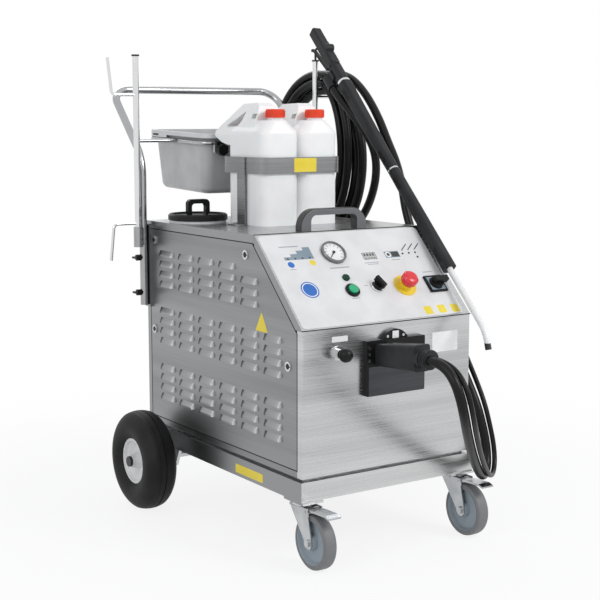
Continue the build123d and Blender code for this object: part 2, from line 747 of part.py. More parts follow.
def top_deck():
    """Folded deck with the opening of the tank neck."""
    y0 = SLOPE_Y + SEAM
    deck = block(-HALF, HALF, y0, REAR_Y, DECK_Z - RETURN, DECK_Z)
    deck -= block(-HALF + SHEET, HALF - SHEET, y0 - 1, REAR_Y - SHEET, DECK_Z - RETURN - 1, DECK_Z - SHEET)
    return deck - rod_z(TANK_NECK_R + 1, LID_X, LID_Y, DECK_Z - SHEET - 1, DECK_Z + 1)


def louvre(x, y, z, grow, deep, low):
    """Tapered hood of a louvre on the right side, or its inner form."""
    back = Plane(origin=(x, y, z), x_dir=(0, 1, 0), z_dir=(1, 0, 0))
    wide = back * Pos(0, (LOUVRE_H - low) / 2, 0) * Rectangle(LOUVRE_L - grow, LOUVRE_H + low)
    lip = back.offset(deep) * Pos(0, (4 - low) / 2, 0) * Rectangle(LOUVRE_L - 10 - grow, 4 + low)
    return loft([wide, lip], ruled=True)


def louvre_places():
    """Lower middle points of the louvres, as (y, z)."""
    pitch = (BODY_D - LOUVRE_FRONT - LOUVRE_REAR - LOUVRE_L) / (LOUVRE_COLS - 1)
    places = []
    for part in range(LOUVRE_BLOCKS):
        for col in range(LOUVRE_COLS):
            for row in range(LOUVRE_ROWS):
                if part == 0 and (col == LOUVRE_COLS - 1 or (col == LOUVRE_COLS - 2 and row == 0)):
                    continue
                y = REAR_Y - LOUVRE_REAR - LOUVRE_L / 2 - col * pitch
                z = LOUVRE_TOP - part * LOUVRE_BLOCK - row * LOUVRE_ROW
                places.append((y, z))
    return places


def lock_places():
    """Panel lock points, as (y, z)."""
    front, rear, top = FRONT_Y + 54, REAR_Y - 42, DECK_Z - 48
    bracket = UPRIGHT_Y - CHANNEL_W / 2 - LOCK_R - 4
    return [(bracket, top), (SLOPE_Y + 36, top), (rear, 446), (front, 446)]


def side_panel(side):
    """Flush side panel with pressed louvres."""
    edge = RETURN + SEAM
    across, up = edge / sin(SLOPE), edge / cos(SLOPE)
    low = BODY_Z + SILL_H + SEAM
    front, rear, top = FRONT_Y + edge, REAR_Y - edge, DECK_Z - edge
    knee = FRONT_TOP + edge - up
    crest = SLOPE_Y + (top - (DECK_Z - up)) / tan(SLOPE)
    outline = [(front, low), (rear, low), (rear, top), (crest, top), (front, knee)]
    panel = profile_x(outline, HALF - SHEET, HALF)
    places = louvre_places()
    panel += [louvre(HALF, y, z, 0, LOUVRE_D, 0) for y, z in places]
    panel -= [louvre(HALF - SHEET - 1, y, z, 2 * LOUVRE_WALL, LOUVRE_D + SHEET + 1 - LOUVRE_WALL, 1)
              for y, z in places]
    panel -= [rod_x(LOCK_STEM_R + 0.1, HALF - SHEET - 1, HALF + 1, y, z) for y, z in lock_places()]
    return panel if side > 0 else mirror(panel, about=Plane.YZ)


def panel_lock(side, y, z):
    """Slotted cam lock of a side panel."""
    face = HALF + LOCK_H
    lock = rod_x(LOCK_R, HALF, face, y, z) + rod_x(LOCK_STEM_R, HALF - LOCK_DEPTH, HALF, y, z)
    lock += block(HALF - LOCK_DEPTH - LOCK_CAM_T, HALF - LOCK_DEPTH, y - LOCK_CAM_L / 2, y + LOCK_CAM_L / 2,
                  z - LOCK_CAM_W / 2, z + LOCK_CAM_W / 2)
    lock -= block(face - 1.5, face + 1, y - LOCK_R, y + LOCK_R, z - LOCK_SLOT / 2, z + LOCK_SLOT / 2)
    return lock if side > 0 else mirror(lock, about=Plane.YZ)


def panel_locks():
    """Eight panel locks."""
    return group(*[panel_lock(side, y, z) for side in (-1, 1) for y, z in lock_places()])


def pressure_gauge():
    """Gauge case with its dished dial."""
    base, top = OVERLAY_T, OVERLAY_T + GAUGE_H
    case = spun([(0, -GAUGE_BODY_L), (GAUGE_BODY_R, -GAUGE_BODY_L), (GAUGE_BODY_R, base), (GAUGE_R, base),
                 (GAUGE_R, top - 1.5), (GAUGE_R - 1.5, top), (DIAL_R, top), (DIAL_R, top - DIAL_DEPTH),
                 (NEEDLE_PIN_R + RUN_FIT, top - DIAL_DEPTH), (NEEDLE_PIN_R + RUN_FIT, top - DIAL_DEPTH - 4),
                 (0, top - DIAL_DEPTH - 4)])
    return on_panel(GAUGE_AT, case)


def gauge_needle():
    """Needle of the gauge on its pin, resting at the low end of the dial."""
    dial = OVERLAY_T + GAUGE_H - DIAL_DEPTH
    needle = spun([(0, dial - 3), (NEEDLE_PIN_R, dial - 3), (NEEDLE_PIN_R, dial + 1),
                   (NEEDLE_HUB_R, dial + 1), (NEEDLE_HUB_R, dial + 2.5), (0, dial + 2.5)])
    needle += Pos(NEEDLE_L / 2 - 3, 0, dial + 1.6) * Box(NEEDLE_L + 2, 1.8, 0.8)
    return on_panel(GAUGE_AT, Rot(0, 0, -135) * needle)


def collar(points_above, bore):
    """Turned collar with a neck through the panel and a bore for its spindle."""
    foot = -NECK_L
    return spun([(bore, foot), (NECK_R, foot), (NECK_R, OVERLAY_T)] + points_above)


def switch_collars():
    """Start bezel, selector ring, signal lamp and pull-knob collar."""
    base = OVERLAY_T
    bore = STEM_R + RUN_FIT
    bezel = collar([(BEZEL_R, base), (BEZEL_R, base + BEZEL_H - 1), (BEZEL_R - 1, base + BEZEL_H),
                    (CAP_R + 0.4, base + BEZEL_H), (CAP_R + 0.4, base + 1.5), (bore, base + 1.5)], bore)
    bore = SPINDLE_R + RUN_FIT
    select = collar([(RING_R, base), (RING_R, base + BEZEL_H - 1), (RING_R - 1, base + BEZEL_H),
                     (bore, base + BEZEL_H)], bore)
    lamp = spun([(0, -NECK_L), (LAMP_R - 2, -NECK_L), (LAMP_R - 2, base), (LAMP_R, base),
                 (LAMP_R, base + LAMP_H - 3), (LAMP_R - 3, base + LAMP_H), (0, base + LAMP_H)])
    bore = PULL_STEM_R + RUN_FIT
    pull = rod_y(PULL_COLLAR_R, PULL_X, FRONT_Y - 3, FRONT_Y, PULL_Z)
    pull += rod_y(PULL_COLLAR_R - 5, PULL_X, FRONT_Y - PULL_COLLAR_H, FRONT_Y - 3, PULL_Z)
    pull -= rod_y(bore, PULL_X, FRONT_Y - PULL_COLLAR_H - 1, FRONT_Y + 1, PULL_Z)
    return group(on_panel(START_AT, bezel), on_panel(SELECTOR_AT, select), on_panel(LAMP_AT, lamp), pull)


def start_button():
    """Push button sliding in its bezel."""
    low = OVERLAY_T + 1.5 + CAP_TRAVEL + LOOSE
    button = spun([(0, -NECK_L - 2), (STEM_R, -NECK_L - 2), (STEM_R, low), (CAP_R, low),
                   (CAP_R, low + CAP_H - 1), (CAP_R - 1, low + CAP_H), (0, low + CAP_H)])
    return on_panel(START_AT, button)


def selector_knob():
    """Turning selector with a lever grip."""
    low = OVERLAY_T + BEZEL_H + LOOSE
    knob = spun([(0, -NECK_L - 2), (SPINDLE_R, -NECK_L - 2), (SPINDLE_R, low), (KNOB_R, low),
                 (KNOB_R, low + KNOB_H), (0, low + KNOB_H)])
    knob += Pos(0, 0, low + KNOB_H + LEVER_H / 2 - 1) * Box(LEVER_W, LEVER_L, LEVER_H)
    return on_panel(SELECTOR_AT, Rot(0, 0, 20) * knob)


def stop_collar():
    """Disc and sleeve under the stop button."""
    base = OVERLAY_T
    bore = STEM_R + RUN_FIT
    disc = collar([(STOP_DISC_R, base), (STOP_DISC_R, base + STOP_DISC_H),
                   (STOP_SLEEVE_R, base + STOP_DISC_H), (STOP_SLEEVE_R, base + STOP_DISC_H + STOP_SLEEVE_H),
                   (bore, base + STOP_DISC_H + STOP_SLEEVE_H)], bore)
    return on_panel(STOP_AT, disc)


def stop_button():
    """Mushroom button sliding in its collar."""
    low = OVERLAY_T + STOP_DISC_H + STOP_SLEEVE_H + STOP_TRAVEL + LOOSE
    button = spun([(0, -NECK_L - 2), (STEM_R, -NECK_L - 2), (STEM_R, low), (STOP_R - 3, low),
                   (STOP_R, low + 3), (STOP_R, low + STOP_H - 6), (STOP_R - 4, low + STOP_H - 1.5),
                   (STOP_R - 9, low + STOP_H), (0, low + STOP_H)])
    return on_panel(STOP_AT, button)


def isolator_plate():
    """Square plate of the isolator with its neck."""
    plate = Pos(0, 0, OVERLAY_T + ISOLATOR_T / 2) * Box(ISOLATOR_W, ISOLATOR_L, ISOLATOR_T)
    plate += Pos(0, 0, (OVERLAY_T - NECK_L) / 2) * Cylinder(NECK_R, OVERLAY_T + NECK_L)
    plate -= Cylinder(SPINDLE_R + RUN_FIT, 4 * NECK_L)
    return on_panel(ISOLATOR_AT, plate)


def isolator_handle():
    """Quarter-turn handle of the isolator."""
    low = OVERLAY_T + ISOLATOR_T + LOOSE
    handle = spun([(0, -NECK_L - 2), (SPINDLE_R, -NECK_L - 2), (SPINDLE_R, low), (HANDLE_BASE_R, low),
                   (HANDLE_BASE_R - 2, low + HANDLE_BASE_H), (0, low + HANDLE_BASE_H)])
    middle = low + HANDLE_BASE_H + HANDLE_BAR_H / 2 - 1
    handle += Pos(HANDLE_BAR_OFF, 0, middle) * Box(HANDLE_BAR_L, HANDLE_BAR_W, HANDLE_BAR_H)
    return on_panel(ISOLATOR_AT, handle)


def pull_knob():
    """Ball knob on a stem that slides through the front cover."""
    ball_y = FRONT_Y - PULL_COLLAR_H - LOOSE - PULL_BALL_R
    knob = Pos(PULL_X, ball_y, PULL_Z) * Sphere(PULL_BALL_R)
    return knob + rod_y(PULL_STEM_R, PULL_X, ball_y, FRONT_Y + SHEET + 2 * PULL_TRAVEL, PULL_Z)


def socket_plate():
    """Socket block with its round flange."""
    x0, x1 = SOCKET_X - SOCKET_W / 2, SOCKET_X + SOCKET_W / 2
    plate = block(x0, x1, SOCKET_FACE, FRONT_Y, SOCKET_Z - SOCKET_H / 2, SOCKET_Z + SOCKET_H / 2)
    plate = fillet(plate.edges().filter_by(Axis.Y), 3)
    middle = SOCKET_Z + FLANGE_UP
    return plate + rod_y(FLANGE_R, SOCKET_X, FRONT_Y - FLANGE_T, FRONT_Y, middle)


def plug():
    """Plug hood with its ribbed gland."""
    near = Plane(origin=(PLUG_X, SOCKET_FACE, PLUG_Z), x_dir=(1, 0, 0), z_dir=(0, -1, 0))
    far = Plane(origin=(PLUG_X, SOCKET_FACE - PLUG_L, TIP_Z), x_dir=(1, 0, 0), z_dir=(0, -1, 0))
    hood = loft([near * RectangleRounded(PLUG_W, PLUG_H, 7), far * RectangleRounded(PLUG_W, PLUG_TIP_H, 7)])
    start = SOCKET_FACE - PLUG_L
    hood += rod_y(GLAND_R, PLUG_X, start - 10, start, TIP_Z)
    hood += rod_y(GLAND_TIP_R, PLUG_X, GLAND_END, start - 10, TIP_Z)
    for step in range(4):
        y = start - 13 - step * (GLAND_L - 13) / 4
        hood += rod_y(GLAND_TIP_R + 2.5, PLUG_X, y - 2.5, y, TIP_Z)
    return hood


def deck_handle():
    """Bridge handle on the deck."""
    arch = RectangleRounded(DECK_HANDLE_L, 2 * DECK_HANDLE_H, DECK_HANDLE_R)
    opening = DECK_HANDLE_H - DECK_HANDLE_T
    arch -= RectangleRounded(DECK_HANDLE_L - 2 * DECK_HANDLE_LEG, 2 * opening, DECK_HANDLE_T)
    arch &= Pos(0, DECK_HANDLE_H / 2) * Rectangle(2 * DECK_HANDLE_L, DECK_HANDLE_H)
    y = FRONT_Y + DECK_HANDLE_IN
    face = Plane(origin=(DECK_HANDLE_X, y + DECK_HANDLE_W / 2, DECK_Z), x_dir=(1, 0, 0), z_dir=(0, -1, 0))
    grip = extrude(face * arch, amount=DECK_HANDLE_W)
    return fillet(grip.edges().filter_by(Axis.X).group_by(Axis.Z)[-1], 4)


def water_tank():
    """Open-necked tank under the deck with its ring nut."""
    x0 = LID_X - TANK_W / 2 + 12
    y0 = LID_Y - TANK_D / 2 - 22
    tank = block(x0, x0 + TANK_W, y0, y0 + TANK_D, FLOOR_Z, TANK_TOP)
    tank += rod_z(TANK_NECK_R, LID_X, LID_Y, TANK_TOP - 1, DECK_Z + RING_NUT_H)
    tank -= block(x0 + TANK_WALL, x0 + TANK_W - TANK_WALL, y0 + TANK_WALL, y0 + TANK_D - TANK_WALL,
                  FLOOR_Z + TANK_WALL, TANK_TOP - TANK_WALL)
    tank -= rod_z(TANK_NECK_R - TANK_WALL, LID_X, LID_Y, TANK_TOP - 20, DECK_Z + RING_NUT_H + 1)
    nut = rod_z(RING_NUT_R, LID_X, LID_Y, DECK_Z, DECK_Z + RING_NUT_H)
    nut -= rod_z(TANK_NECK_R, LID_X, LID_Y, DECK_Z - 1, DECK_Z + RING_NUT_H + 1)
    return group(tank, nut)


def tank_lid():
    """Screw lid with an arch grip and an inner plug."""
    stopper = TANK_NECK_R - TANK_WALL - LOOSE
    lid = Pos(LID_X, LID_Y, LID_Z) * spun([
        (0, -LID_PLUG_H), (stopper, -LID_PLUG_H), (stopper, 0), (LID_R - 1, 0), (LID_R, 1),
        (LID_R, LID_H - 4), (LID_R - 4, LID_H), (LID_R - 9, LID_H), (LID_R - 10, LID_H - 4), (0, LID_H - 4)])
    half = LID_ARCH_W / 2
    foot = LID_Z + LID_H - 4
    face = Plane(origin=(LID_X, LID_Y + LID_ARCH_T / 2, foot), x_dir=(1, 0, 0), z_dir=(0, -1, 0))
    tall = LID_ARCH_H + 4
    inner = tall - LID_ARCH_BAR
    arch = Pos(0, tall / 2 - 1) * RectangleRounded(LID_ARCH_W, tall + 2, 12)
    gap = Pos(0, inner / 2 - 2) * RectangleRounded(LID_ARCH_W - 2 * LID_ARCH_BAR, inner + 4, 8)
    grip = extrude(face * (arch - gap), amount=LID_ARCH_T)
    grip -= block(LID_X - half - 1, LID_X + half + 1, LID_Y - LID_ARCH_T, LID_Y + LID_ARCH_T,
                  LID_Z - 20, foot - 0.5)
    return lid + grip


def can_x(side):
    """Middle of a can across the deck."""
    return CAN_X + side * CAN_PITCH / 2


def can(side):
    """Jerrycan with a shoulder, neck and loop grip."""
    x = can_x(side)
    section = RectangleRounded(CAN_W, CAN_D, CAN_CORNER)
    shell = Pos(x, CAN_MID_Y, DECK_Z) * extrude(section, amount=CAN_BODY_H)
    shoulder = Pos(x, CAN_MID_Y, DECK_Z + CAN_BODY_H)
    small = Pos(0, -2, CAN_SHOULDER_H) * RectangleRounded(CAN_TOP_W, CAN_TOP_D, CAN_CORNER)
    shell += shoulder * loft([section, small], ruled=True)
    crease = DECK_Z + CAN_BODY_H
    shell = fillet(shell.edges().filter_by_position(Axis.Z, crease - 0.1, crease + 0.1), CAN_ROUND)
    shell += rod_z(CAN_NECK_R, x, CAN_NECK_Y, CAN_SHOULDER_Z - 2, CAN_SHOULDER_Z + CAN_NECK_H)
    return shell + can_grip(x) - can_gaps(x)


def can_grip(x):
    """Loop grip behind the neck, widening from its ridge to the rear shoulder."""
    rear = CAN_Y + CAN_D
    base = DECK_Z + CAN_BODY_H
    top = base + CAN_GRIP_H
    neck = CAN_NECK_Y + CAN_CAP_R
    tip = rear + CAN_GRIP_OVER
    wide, slim = CAN_GRIP_W / 2, CAN_GRIP_TOP / 2
    grip = profile_x([(neck - 1, base + 6), (neck + 4, base + 40), (neck + 14, top - 8), (neck + 28, top),
                      (tip - 86, top - 2), (tip, base + 3), (tip - 6, base - 10), (tip - 38, base - 25),
                      (rear - 14, base - 32), (rear - 40, base - 20)], x - wide, x + wide)
    roof = Plane(origin=(x, neck - 20, base), x_dir=(1, 0, 0), z_dir=(0, 1, 0))
    outline = make_face(Polyline((-wide, 40), (wide, 40), (wide, 6), (slim, -CAN_GRIP_H - 1),
                                 (-slim, -CAN_GRIP_H - 1), (-wide, 6), close=True))
    return grip & extrude(roof * outline, amount=2 * CAN_D)


def can_gaps(x):
    """Finger gap under the grip and the small window before it."""
    tip = CAN_Y + CAN_D + CAN_GRIP_OVER
    base = DECK_Z + CAN_BODY_H
    neck = CAN_NECK_Y + CAN_CAP_R
    gap = profile_x([(tip - 114, base + 53), (tip - 46, base + 18), (tip - 53, base + 12),
                     (tip - 98, base + 16), (tip - 109, base + 28)], x - CAN_W, x + CAN_W)
    return [gap, block(x - CAN_W, x + CAN_W, neck + 10, neck + 30, base + 34, base + 46)]


def can_cap(side):
    """Screw cap of a can."""
    x = can_x(side)
    low = CAN_SHOULDER_Z + LOOSE + 6
    cap = rod_z(CAN_CAP_R, x, CAN_NECK_Y, low, low + CAN_CAP_H)
    cap = fillet(cap.edges().group_by(Axis.Z)[-1], 2)
    return cap - rod_z(CAN_NECK_R + LOOSE, x, CAN_NECK_Y, low - 1, CAN_SHOULDER_Z + CAN_NECK_H + LOOSE)


def can_strap():
    """Flat loop round both cans on two bolted uprights."""
    width = CAN_PITCH + CAN_W + 2 * (STRAP_CLEAR + STRAP_T)
    depth = CAN_D + 2 * (STRAP_CLEAR + STRAP_T) + STRAP_SLACK
    strap = ring(width, depth, CAN_CORNER, STRAP_T, STRAP_H)
    strap = Pos(CAN_X, CAN_MID_Y + STRAP_SLACK / 2, STRAP_Z) * strap
    for side in (-1, 1):
        a = CAN_X + side * width / 2
        b = a + side * STRAP_T
        y0, y1 = CAN_MID_Y - STRAP_BAR_W / 2, CAN_MID_Y + STRAP_BAR_W / 2
        strap += block(min(a, b), max(a, b), y0, y1, DECK_Z, STRAP_Z + STRAP_H)
        far = a + side * STRAP_FOOT
        strap += block(min(a, far), max(a, far), y0, y1, DECK_Z, DECK_Z + STRAP_T)
        seat = DECK_Z + STRAP_T
        strap += rod_z(BOLT_R, a + side * STRAP_FOOT * 0.6, CAN_MID_Y, seat, seat + BOLT_H)
    return strap


def handle_route():
    """Corner points of the push handle."""
    back = UPRIGHT_Y + HANDLE_BACK
    left = [(-UPRIGHT_X, UPRIGHT_Y, HANDLE_Z), (-UPRIGHT_X, UPRIGHT_Y, BEND_Z),
            (-UPRIGHT_X, back, HANDLE_TOP)]
    return left + [(-x, y, z) for x, y, z in reversed(left)]


def push_handle():
    """Bent tube with a socket for a hook post on each side."""
    bends = [BEND_R, CROSS_R, CROSS_R, BEND_R]
    tube = bar(handle_route(), TUBE_R, bends)
    for side in (-1, 1):
        x = side * POST_X
        tube += rod_z(SLEEVE_R, x, POST_Y, SLEEVE_Z, SLEEVE_Z + SLEEVE_H)
        a, b = sorted((side * (UPRIGHT_X + TUBE_R / 2), x))
        y0, y1 = sorted((POST_Y, UPRIGHT_Y))
        tube += block(a, b, y0 - WEB_T / 2, y1, SLEEVE_Z + 4, SLEEVE_Z + SLEEVE_H - 4)
    tube -= bar(handle_route(), TUBE_R - TUBE_T, bends)
    for side in (-1, 1):
        x = side * POST_X
        tube -= rod_z(POST_R + RUN_FIT, x, POST_Y, SLEEVE_Z + SLEEVE_FLOOR, SLEEVE_Z + SLEEVE_H + 1)
        a, b = sorted((side * (UPRIGHT_X - TUBE_R - 1), side * (UPRIGHT_X + TUBE_R + 1)))
        tube -= [rod_x(SCREW_R + RUN_FIT, a, b, UPRIGHT_Y, z) for z in CLAMP_Z]
    return tube


def handle_bracket(side):
    """Channel on the cabinet side that carries an upright."""
    top = DECK_Z - RETURN / 2
    y0, y1 = UPRIGHT_Y - CHANNEL_W / 2, UPRIGHT_Y + CHANNEL_W / 2
    channel = block(HALF, HALF + CHANNEL_D, y0, y1, CHANNEL_Z, top)
    channel -= block(HALF - 1, HALF + CHANNEL_D - CHANNEL_T, y0 + CHANNEL_T, y1 - CHANNEL_T,
                     CHANNEL_Z - 1, top + 1)
    channel -= [rod_x(SCREW_R + RUN_FIT, HALF, HALF + CHANNEL_D + 1, UPRIGHT_Y, z) for z in CLAMP_Z]
    return channel if side > 0 else mirror(channel, about=Plane.YZ)


def handle_brackets():
    """Both handle brackets."""
    return group(handle_bracket(-1), handle_bracket(1))


def clamp_knob(side, z):
    """Wing screw that clamps an upright to its bracket."""
    start = UPRIGHT_X + TUBE_R + PLAY
    knob = rod_x(SCREW_R, HALF + 1, start, UPRIGHT_Y, z)
    knob += rod_x(WING_HUB_R, start, start + WING_HUB_L, UPRIGHT_Y, z)
    knob += block(start + 3, start + 3 + WING_H, UPRIGHT_Y - WING_L / 2, UPRIGHT_Y + WING_L / 2,
                  z - WING_T / 2, z + WING_T / 2)
    return knob if side > 0 else mirror(knob, about=Plane.YZ)


def hook_post(side):
    """Post with two wire hooks and a cap."""
    x, reach = POST_X, POST_X + HOOK_REACH
    post = rod_z(POST_R, x, POST_Y, SLEEVE_Z + SLEEVE_FLOOR, POST_TOP)
    tip = reach + HOOK_LEAN
    post += bar([(x, POST_Y, HOOK_UP_Z), (reach, POST_Y, HOOK_UP_Z), (tip, POST_Y, HOOK_UP_Z + HOOK_TIP)],
                HOOK_R, HOOK_BEND)
    post += bar([(x, POST_Y, HOOK_LOW_Z), (reach, POST_Y, HOOK_LOW_Z), (tip, POST_Y, HOOK_LOW_Z - HOOK_TIP)],
                HOOK_R, HOOK_BEND)
    post += rod_z(POST_CAP_R, x, POST_Y, POST_TOP, POST_TOP + POST_CAP_H)
    if side < 0:
        return mirror(post, about=Plane.YZ)
    peg = [(x, POST_Y, POST_TOP + POST_CAP_H - 1), (x, POST_Y, PEG_Z), (x + PEG_L, POST_Y, PEG_Z)]
    return post + bar(peg, PEG_R, PEG_BEND)


def hook_posts():
    """Both hook posts."""
    return group(hook_post(-1), hook_post(1))


def tub():
    """Open tub with a turned-down slotted rim."""
    width, depth = TUB_W - 2 * TUB_RIM_W, TUB_D - 2 * TUB_RIM_W

    def body(wall, z0):
        corner = TUB_CORNER - TUB_RIM_W + 8 - wall
        high = Pos(0, 0, TUB_TOP) * RectangleRounded(width - 2 * wall, depth - 2 * wall, corner)
        low = Pos(0, 0, z0) * RectangleRounded(width - 2 * (TUB_TAPER_X + wall),
                                               depth - 2 * (TUB_TAPER_Y + wall), corner)
        return Pos(0, TUB_Y, 0) * loft([low, high], ruled=True)

    def rounded(shape, radius):
        return fillet(shape.edges().group_by(Axis.Z)[0], radius)

    bottom = TUB_TOP - TUB_H
    shell = rounded(body(0, bottom), TUB_ROUND)
    shell += Pos(0, TUB_Y, TUB_TOP - TUB_WALL) * ring(TUB_W, TUB_D, TUB_CORNER, TUB_RIM_W + 2, TUB_WALL)
    shell += Pos(0, TUB_Y, RIM_Z + RIM_STEP) * ring(TUB_W, TUB_D, TUB_CORNER, TUB_WALL, TUB_RIM_H - RIM_STEP)
    rear = TUB_Y + TUB_D / 2
    skirt = Pos(0, TUB_Y, RIM_Z) * ring(TUB_W, TUB_D, TUB_CORNER, TUB_WALL, RIM_STEP + 1)
    skirt &= block(-TUB_W, TUB_W, rear - RIM_STEP_IN, rear + 1, RIM_Z, TUB_TOP)
    shell += skirt
    shell -= rounded(body(TUB_WALL, bottom + TUB_WALL), TUB_ROUND - TUB_WALL)
    y1, z0 = rear - TUB_CORNER, RIM_Z + 4
    shell -= block(-TUB_W, -TUB_W / 2 + TUB_WALL + 1, y1 - RIM_SLOT_L, y1, z0, z0 + RIM_SLOT_H)
    shell -= block(TUB_W / 2 - TUB_WALL - 1, TUB_W, y1 - RIM_SLOT_L, y1, z0, z0 + RIM_SLOT_H)
    return TUB_TURN * shell


def ring_front():
    """Front face of the tub ring's rod."""
    return TUB_Y - TUB_D / 2 + RING_IN - RING_ROD_R


def tub_ring():
    """Rod ring under the tub's rim, with arms to the handle and a screw lug."""
    width, depth = TUB_W - 2 * RING_IN, TUB_D - 2 * RING_IN
    path = Pos(0, TUB_Y, RING_Z) * RectangleRounded(width, depth, TUB_CORNER - RING_IN)
    start = Plane(origin=(width / 2, TUB_Y, RING_Z), z_dir=(0, 1, 0))
    loop = sweep(start * Circle(RING_ROD_R), path=path.wire())
    for side in (-1, 1):
        a, b = sorted((side * (width / 2), side * (UPRIGHT_X - TUBE_R + 1.2)))
        loop += rod_x(ARM_R, a, b, ARM_Y, RING_Z)
    y1 = ring_front() + RING_ROD_R
    x0, x1 = RING_KNOB_X - LUG_W / 2, RING_KNOB_X + LUG_W / 2
    lug = block(x0, x1, y1 - LUG_T, y1, RING_Z - LUG_H, RING_Z + 4)
    lug -= rod_y(SCREW_R + RUN_FIT, RING_KNOB_X, y1 - LUG_T - 1, y1 + 1, ring_knob_z())
    return TUB_TURN * (loop + lug)


def ring_knob_z():
    """Height of the ring knob's screw below the rod, before the tilt."""
    return RING_Z - STAR_DROP


def ring_knob():
    """Knob and screw that steady the tub in its ring."""
    y1 = ring_front() + RING_ROD_R - LUG_T - PLAY
    z = ring_knob_z()
    knob = rod_y(STAR_R, RING_KNOB_X, y1 - STAR_L, y1, z)
    for step in range(6):
        angle = radians(60 * step)
        knob -= rod_y(3.2, RING_KNOB_X + (STAR_R + 1.2) * cos(angle), y1 - STAR_L - 1, y1 + 1,
                      z + (STAR_R + 1.2) * sin(angle))
    return TUB_TURN * (knob + rod_y(SCREW_R, RING_KNOB_X, y1, y1 + LUG_T, z))


def gun_section(size, corner, w):
    """Rounded square across the gun's axis."""
    return GUN.offset(w) * RectangleRounded(size, size, corner)


def gun_piece(size, corner, w0, w1):
    """Straight rounded-square piece of the gun."""
    return extrude(gun_section(size, corner, w0), amount=w1 - w0, dir=GUN_AXIS)


def gun_rod(radius, side, off, w0, w1):
    """Cylinder along the gun, at an offset from its axis."""
    return GUN.location * Pos(side, off, (w0 + w1) / 2) * Cylinder(radius, w1 - w0)


def gun_block(x0, x1, y0, y1, w0, w1):
    """Box in the gun's frame."""
    return GUN.location * block(x0, x1, y0, y1, w0, w1)


def gun_cross(radius, x0, x1, off, w):
    """Cylinder across the gun."""
    return GUN.location * rod_x(radius, x0, x1, off, w)


def gun_body():
    """Grip, nut, valve body and rear block, with the hose inlet and trigger lug."""
    body = gun_rod(GUN_RING_R, 0, 0, RING_W, GRIP_W)
    body += gun_piece(GUN_GRIP, 10, GRIP_W, NUT_W)
    body += gun_rod(GUN_NUT_R, 0, 0, NUT_W, BODY_W0)
    body += gun_piece(GUN_BODY_W, 6, BODY_W0, BLOCK_W)
    body += gun_piece(GUN_BLOCK, 5, BLOCK_W, GUN_L)
    body += gun_cross(12, -GUN_BODY_W / 2 + 2, GUN_BODY_W / 2 - 2, -GUN_BODY_W / 2 + 2, BLOCK_W - 26)
    body += gun_rod(INLET_R, INLET_SIDE, INLET_OFF, INLET_W, INLET_W + INLET_L)
    body += gun_block(INLET_SIDE - 5, INLET_SIDE + 9, 4, INLET_OFF, INLET_W + 12, INLET_W + INLET_L)
    lug = gun_block(-LUG_EAR, LUG_EAR, 6, PIVOT_OFF + 5, PIVOT_W - 5, PIVOT_W + 5)
    return body + (lug - gun_cross(PIVOT_R + RUN_FIT, -LUG_EAR - 1, LUG_EAR + 1, PIVOT_OFF, PIVOT_W))


def gun_trigger():
    """Lever trigger on its pivot pin."""
    inner, outer = LUG_EAR + LOOSE, LUG_EAR + LOOSE + EAR_T
    face = PIVOT_OFF + 6
    trigger = gun_cross(PIVOT_R, -outer, outer, PIVOT_OFF, PIVOT_W)
    for side in (-1, 1):
        a, b = sorted((side * inner, side * outer))
        trigger += gun_block(a, b, PIVOT_OFF - 4, face + TRIGGER_T, PIVOT_W - 6, PIVOT_W + 5)
    end = PIVOT_W + TRIGGER_L
    lever = profile_x([(face, PIVOT_W - 6), (face + TRIGGER_T, PIVOT_W - 6),
                       (face + TRIGGER_RISE + TRIGGER_T, end), (face + TRIGGER_RISE, end)], -outer, outer)
    trigger += GUN.location * lever
    return trigger + gun_cross(4.5, -outer, outer, face + TRIGGER_RISE + 3, end)


def sleeve_slots(w, step, depth):
    """Cutters for a row of vent slots on both flanks of a sleeve."""
    cuts = []
    for count in range(SLOT_COUNT):
        at = w + step * count * SLOT_PITCH
        for side in (-1, 1):
            a, b = sorted((side * (depth - SLOT_D), side * (depth + 5)))
            cuts.append(gun_block(a, b, -SLOT_L / 2, SLOT_L / 2, at - SLOT_W / 2, at + SLOT_W / 2))
    return cuts


def tapered_sleeve(size0, w0, size1, w1):
    """Rounded-square sleeve that tapers along the gun."""
    return loft([gun_section(size0, SLEEVE_CORNER, w0), gun_section(size1, SLEEVE_CORNER, w1)], ruled=True)


def gun_sleeves():
    """Two tapered sleeves with vent slots and the metal ring between them."""
    w1, w2, w3 = TIP_SLEEVE_L, TIP_SLEEVE_L + JOINT_L, RING_W
    low = tapered_sleeve(SLEEVE_END, 0, SLEEVE_WAIST, w1)
    low -= gun_rod(LANCE_R + RUN_FIT, 0, 0, -1, LANCE_SEAT)
    high = tapered_sleeve(SLEEVE_WAIST, w2, SLEEVE_TOP, w3)
    slim = (SLEEVE_END - SLEEVE_WAIST) / 2 / TIP_SLEEVE_L
    mid = SLOT_START + SLOT_PITCH * SLOT_COUNT / 2
    low -= sleeve_slots(SLOT_START, 1, SLEEVE_END / 2 - slim * mid)
    low -= sleeve_slots(w1 - SLOT_START, -1, SLEEVE_WAIST / 2 + slim * mid)
    high -= sleeve_slots(w2 + SLOT_START, 1, SLEEVE_WAIST / 2 + slim * mid)
    high -= sleeve_slots(w3 - SLOT_START, -1, SLEEVE_TOP / 2 - slim * mid)
    joint = gun_rod(SLEEVE_WAIST / 2 + 1, 0, 0, w1, w2)
    return group(low, joint, high)


def lance_points():
    """Route of the lance from inside the sleeve to the nozzle's start and end."""
    start = GUN_LOW + GUN_AXIS * LANCE_SEAT
    corner = GUN_LOW - GUN_AXIS * LANCE_RUN
    angle = radians(LANCE_ANGLE)
    down = Vector(0, -cos(angle), -sin(angle))
    return start, corner, corner + down * LANCE_DROP, down


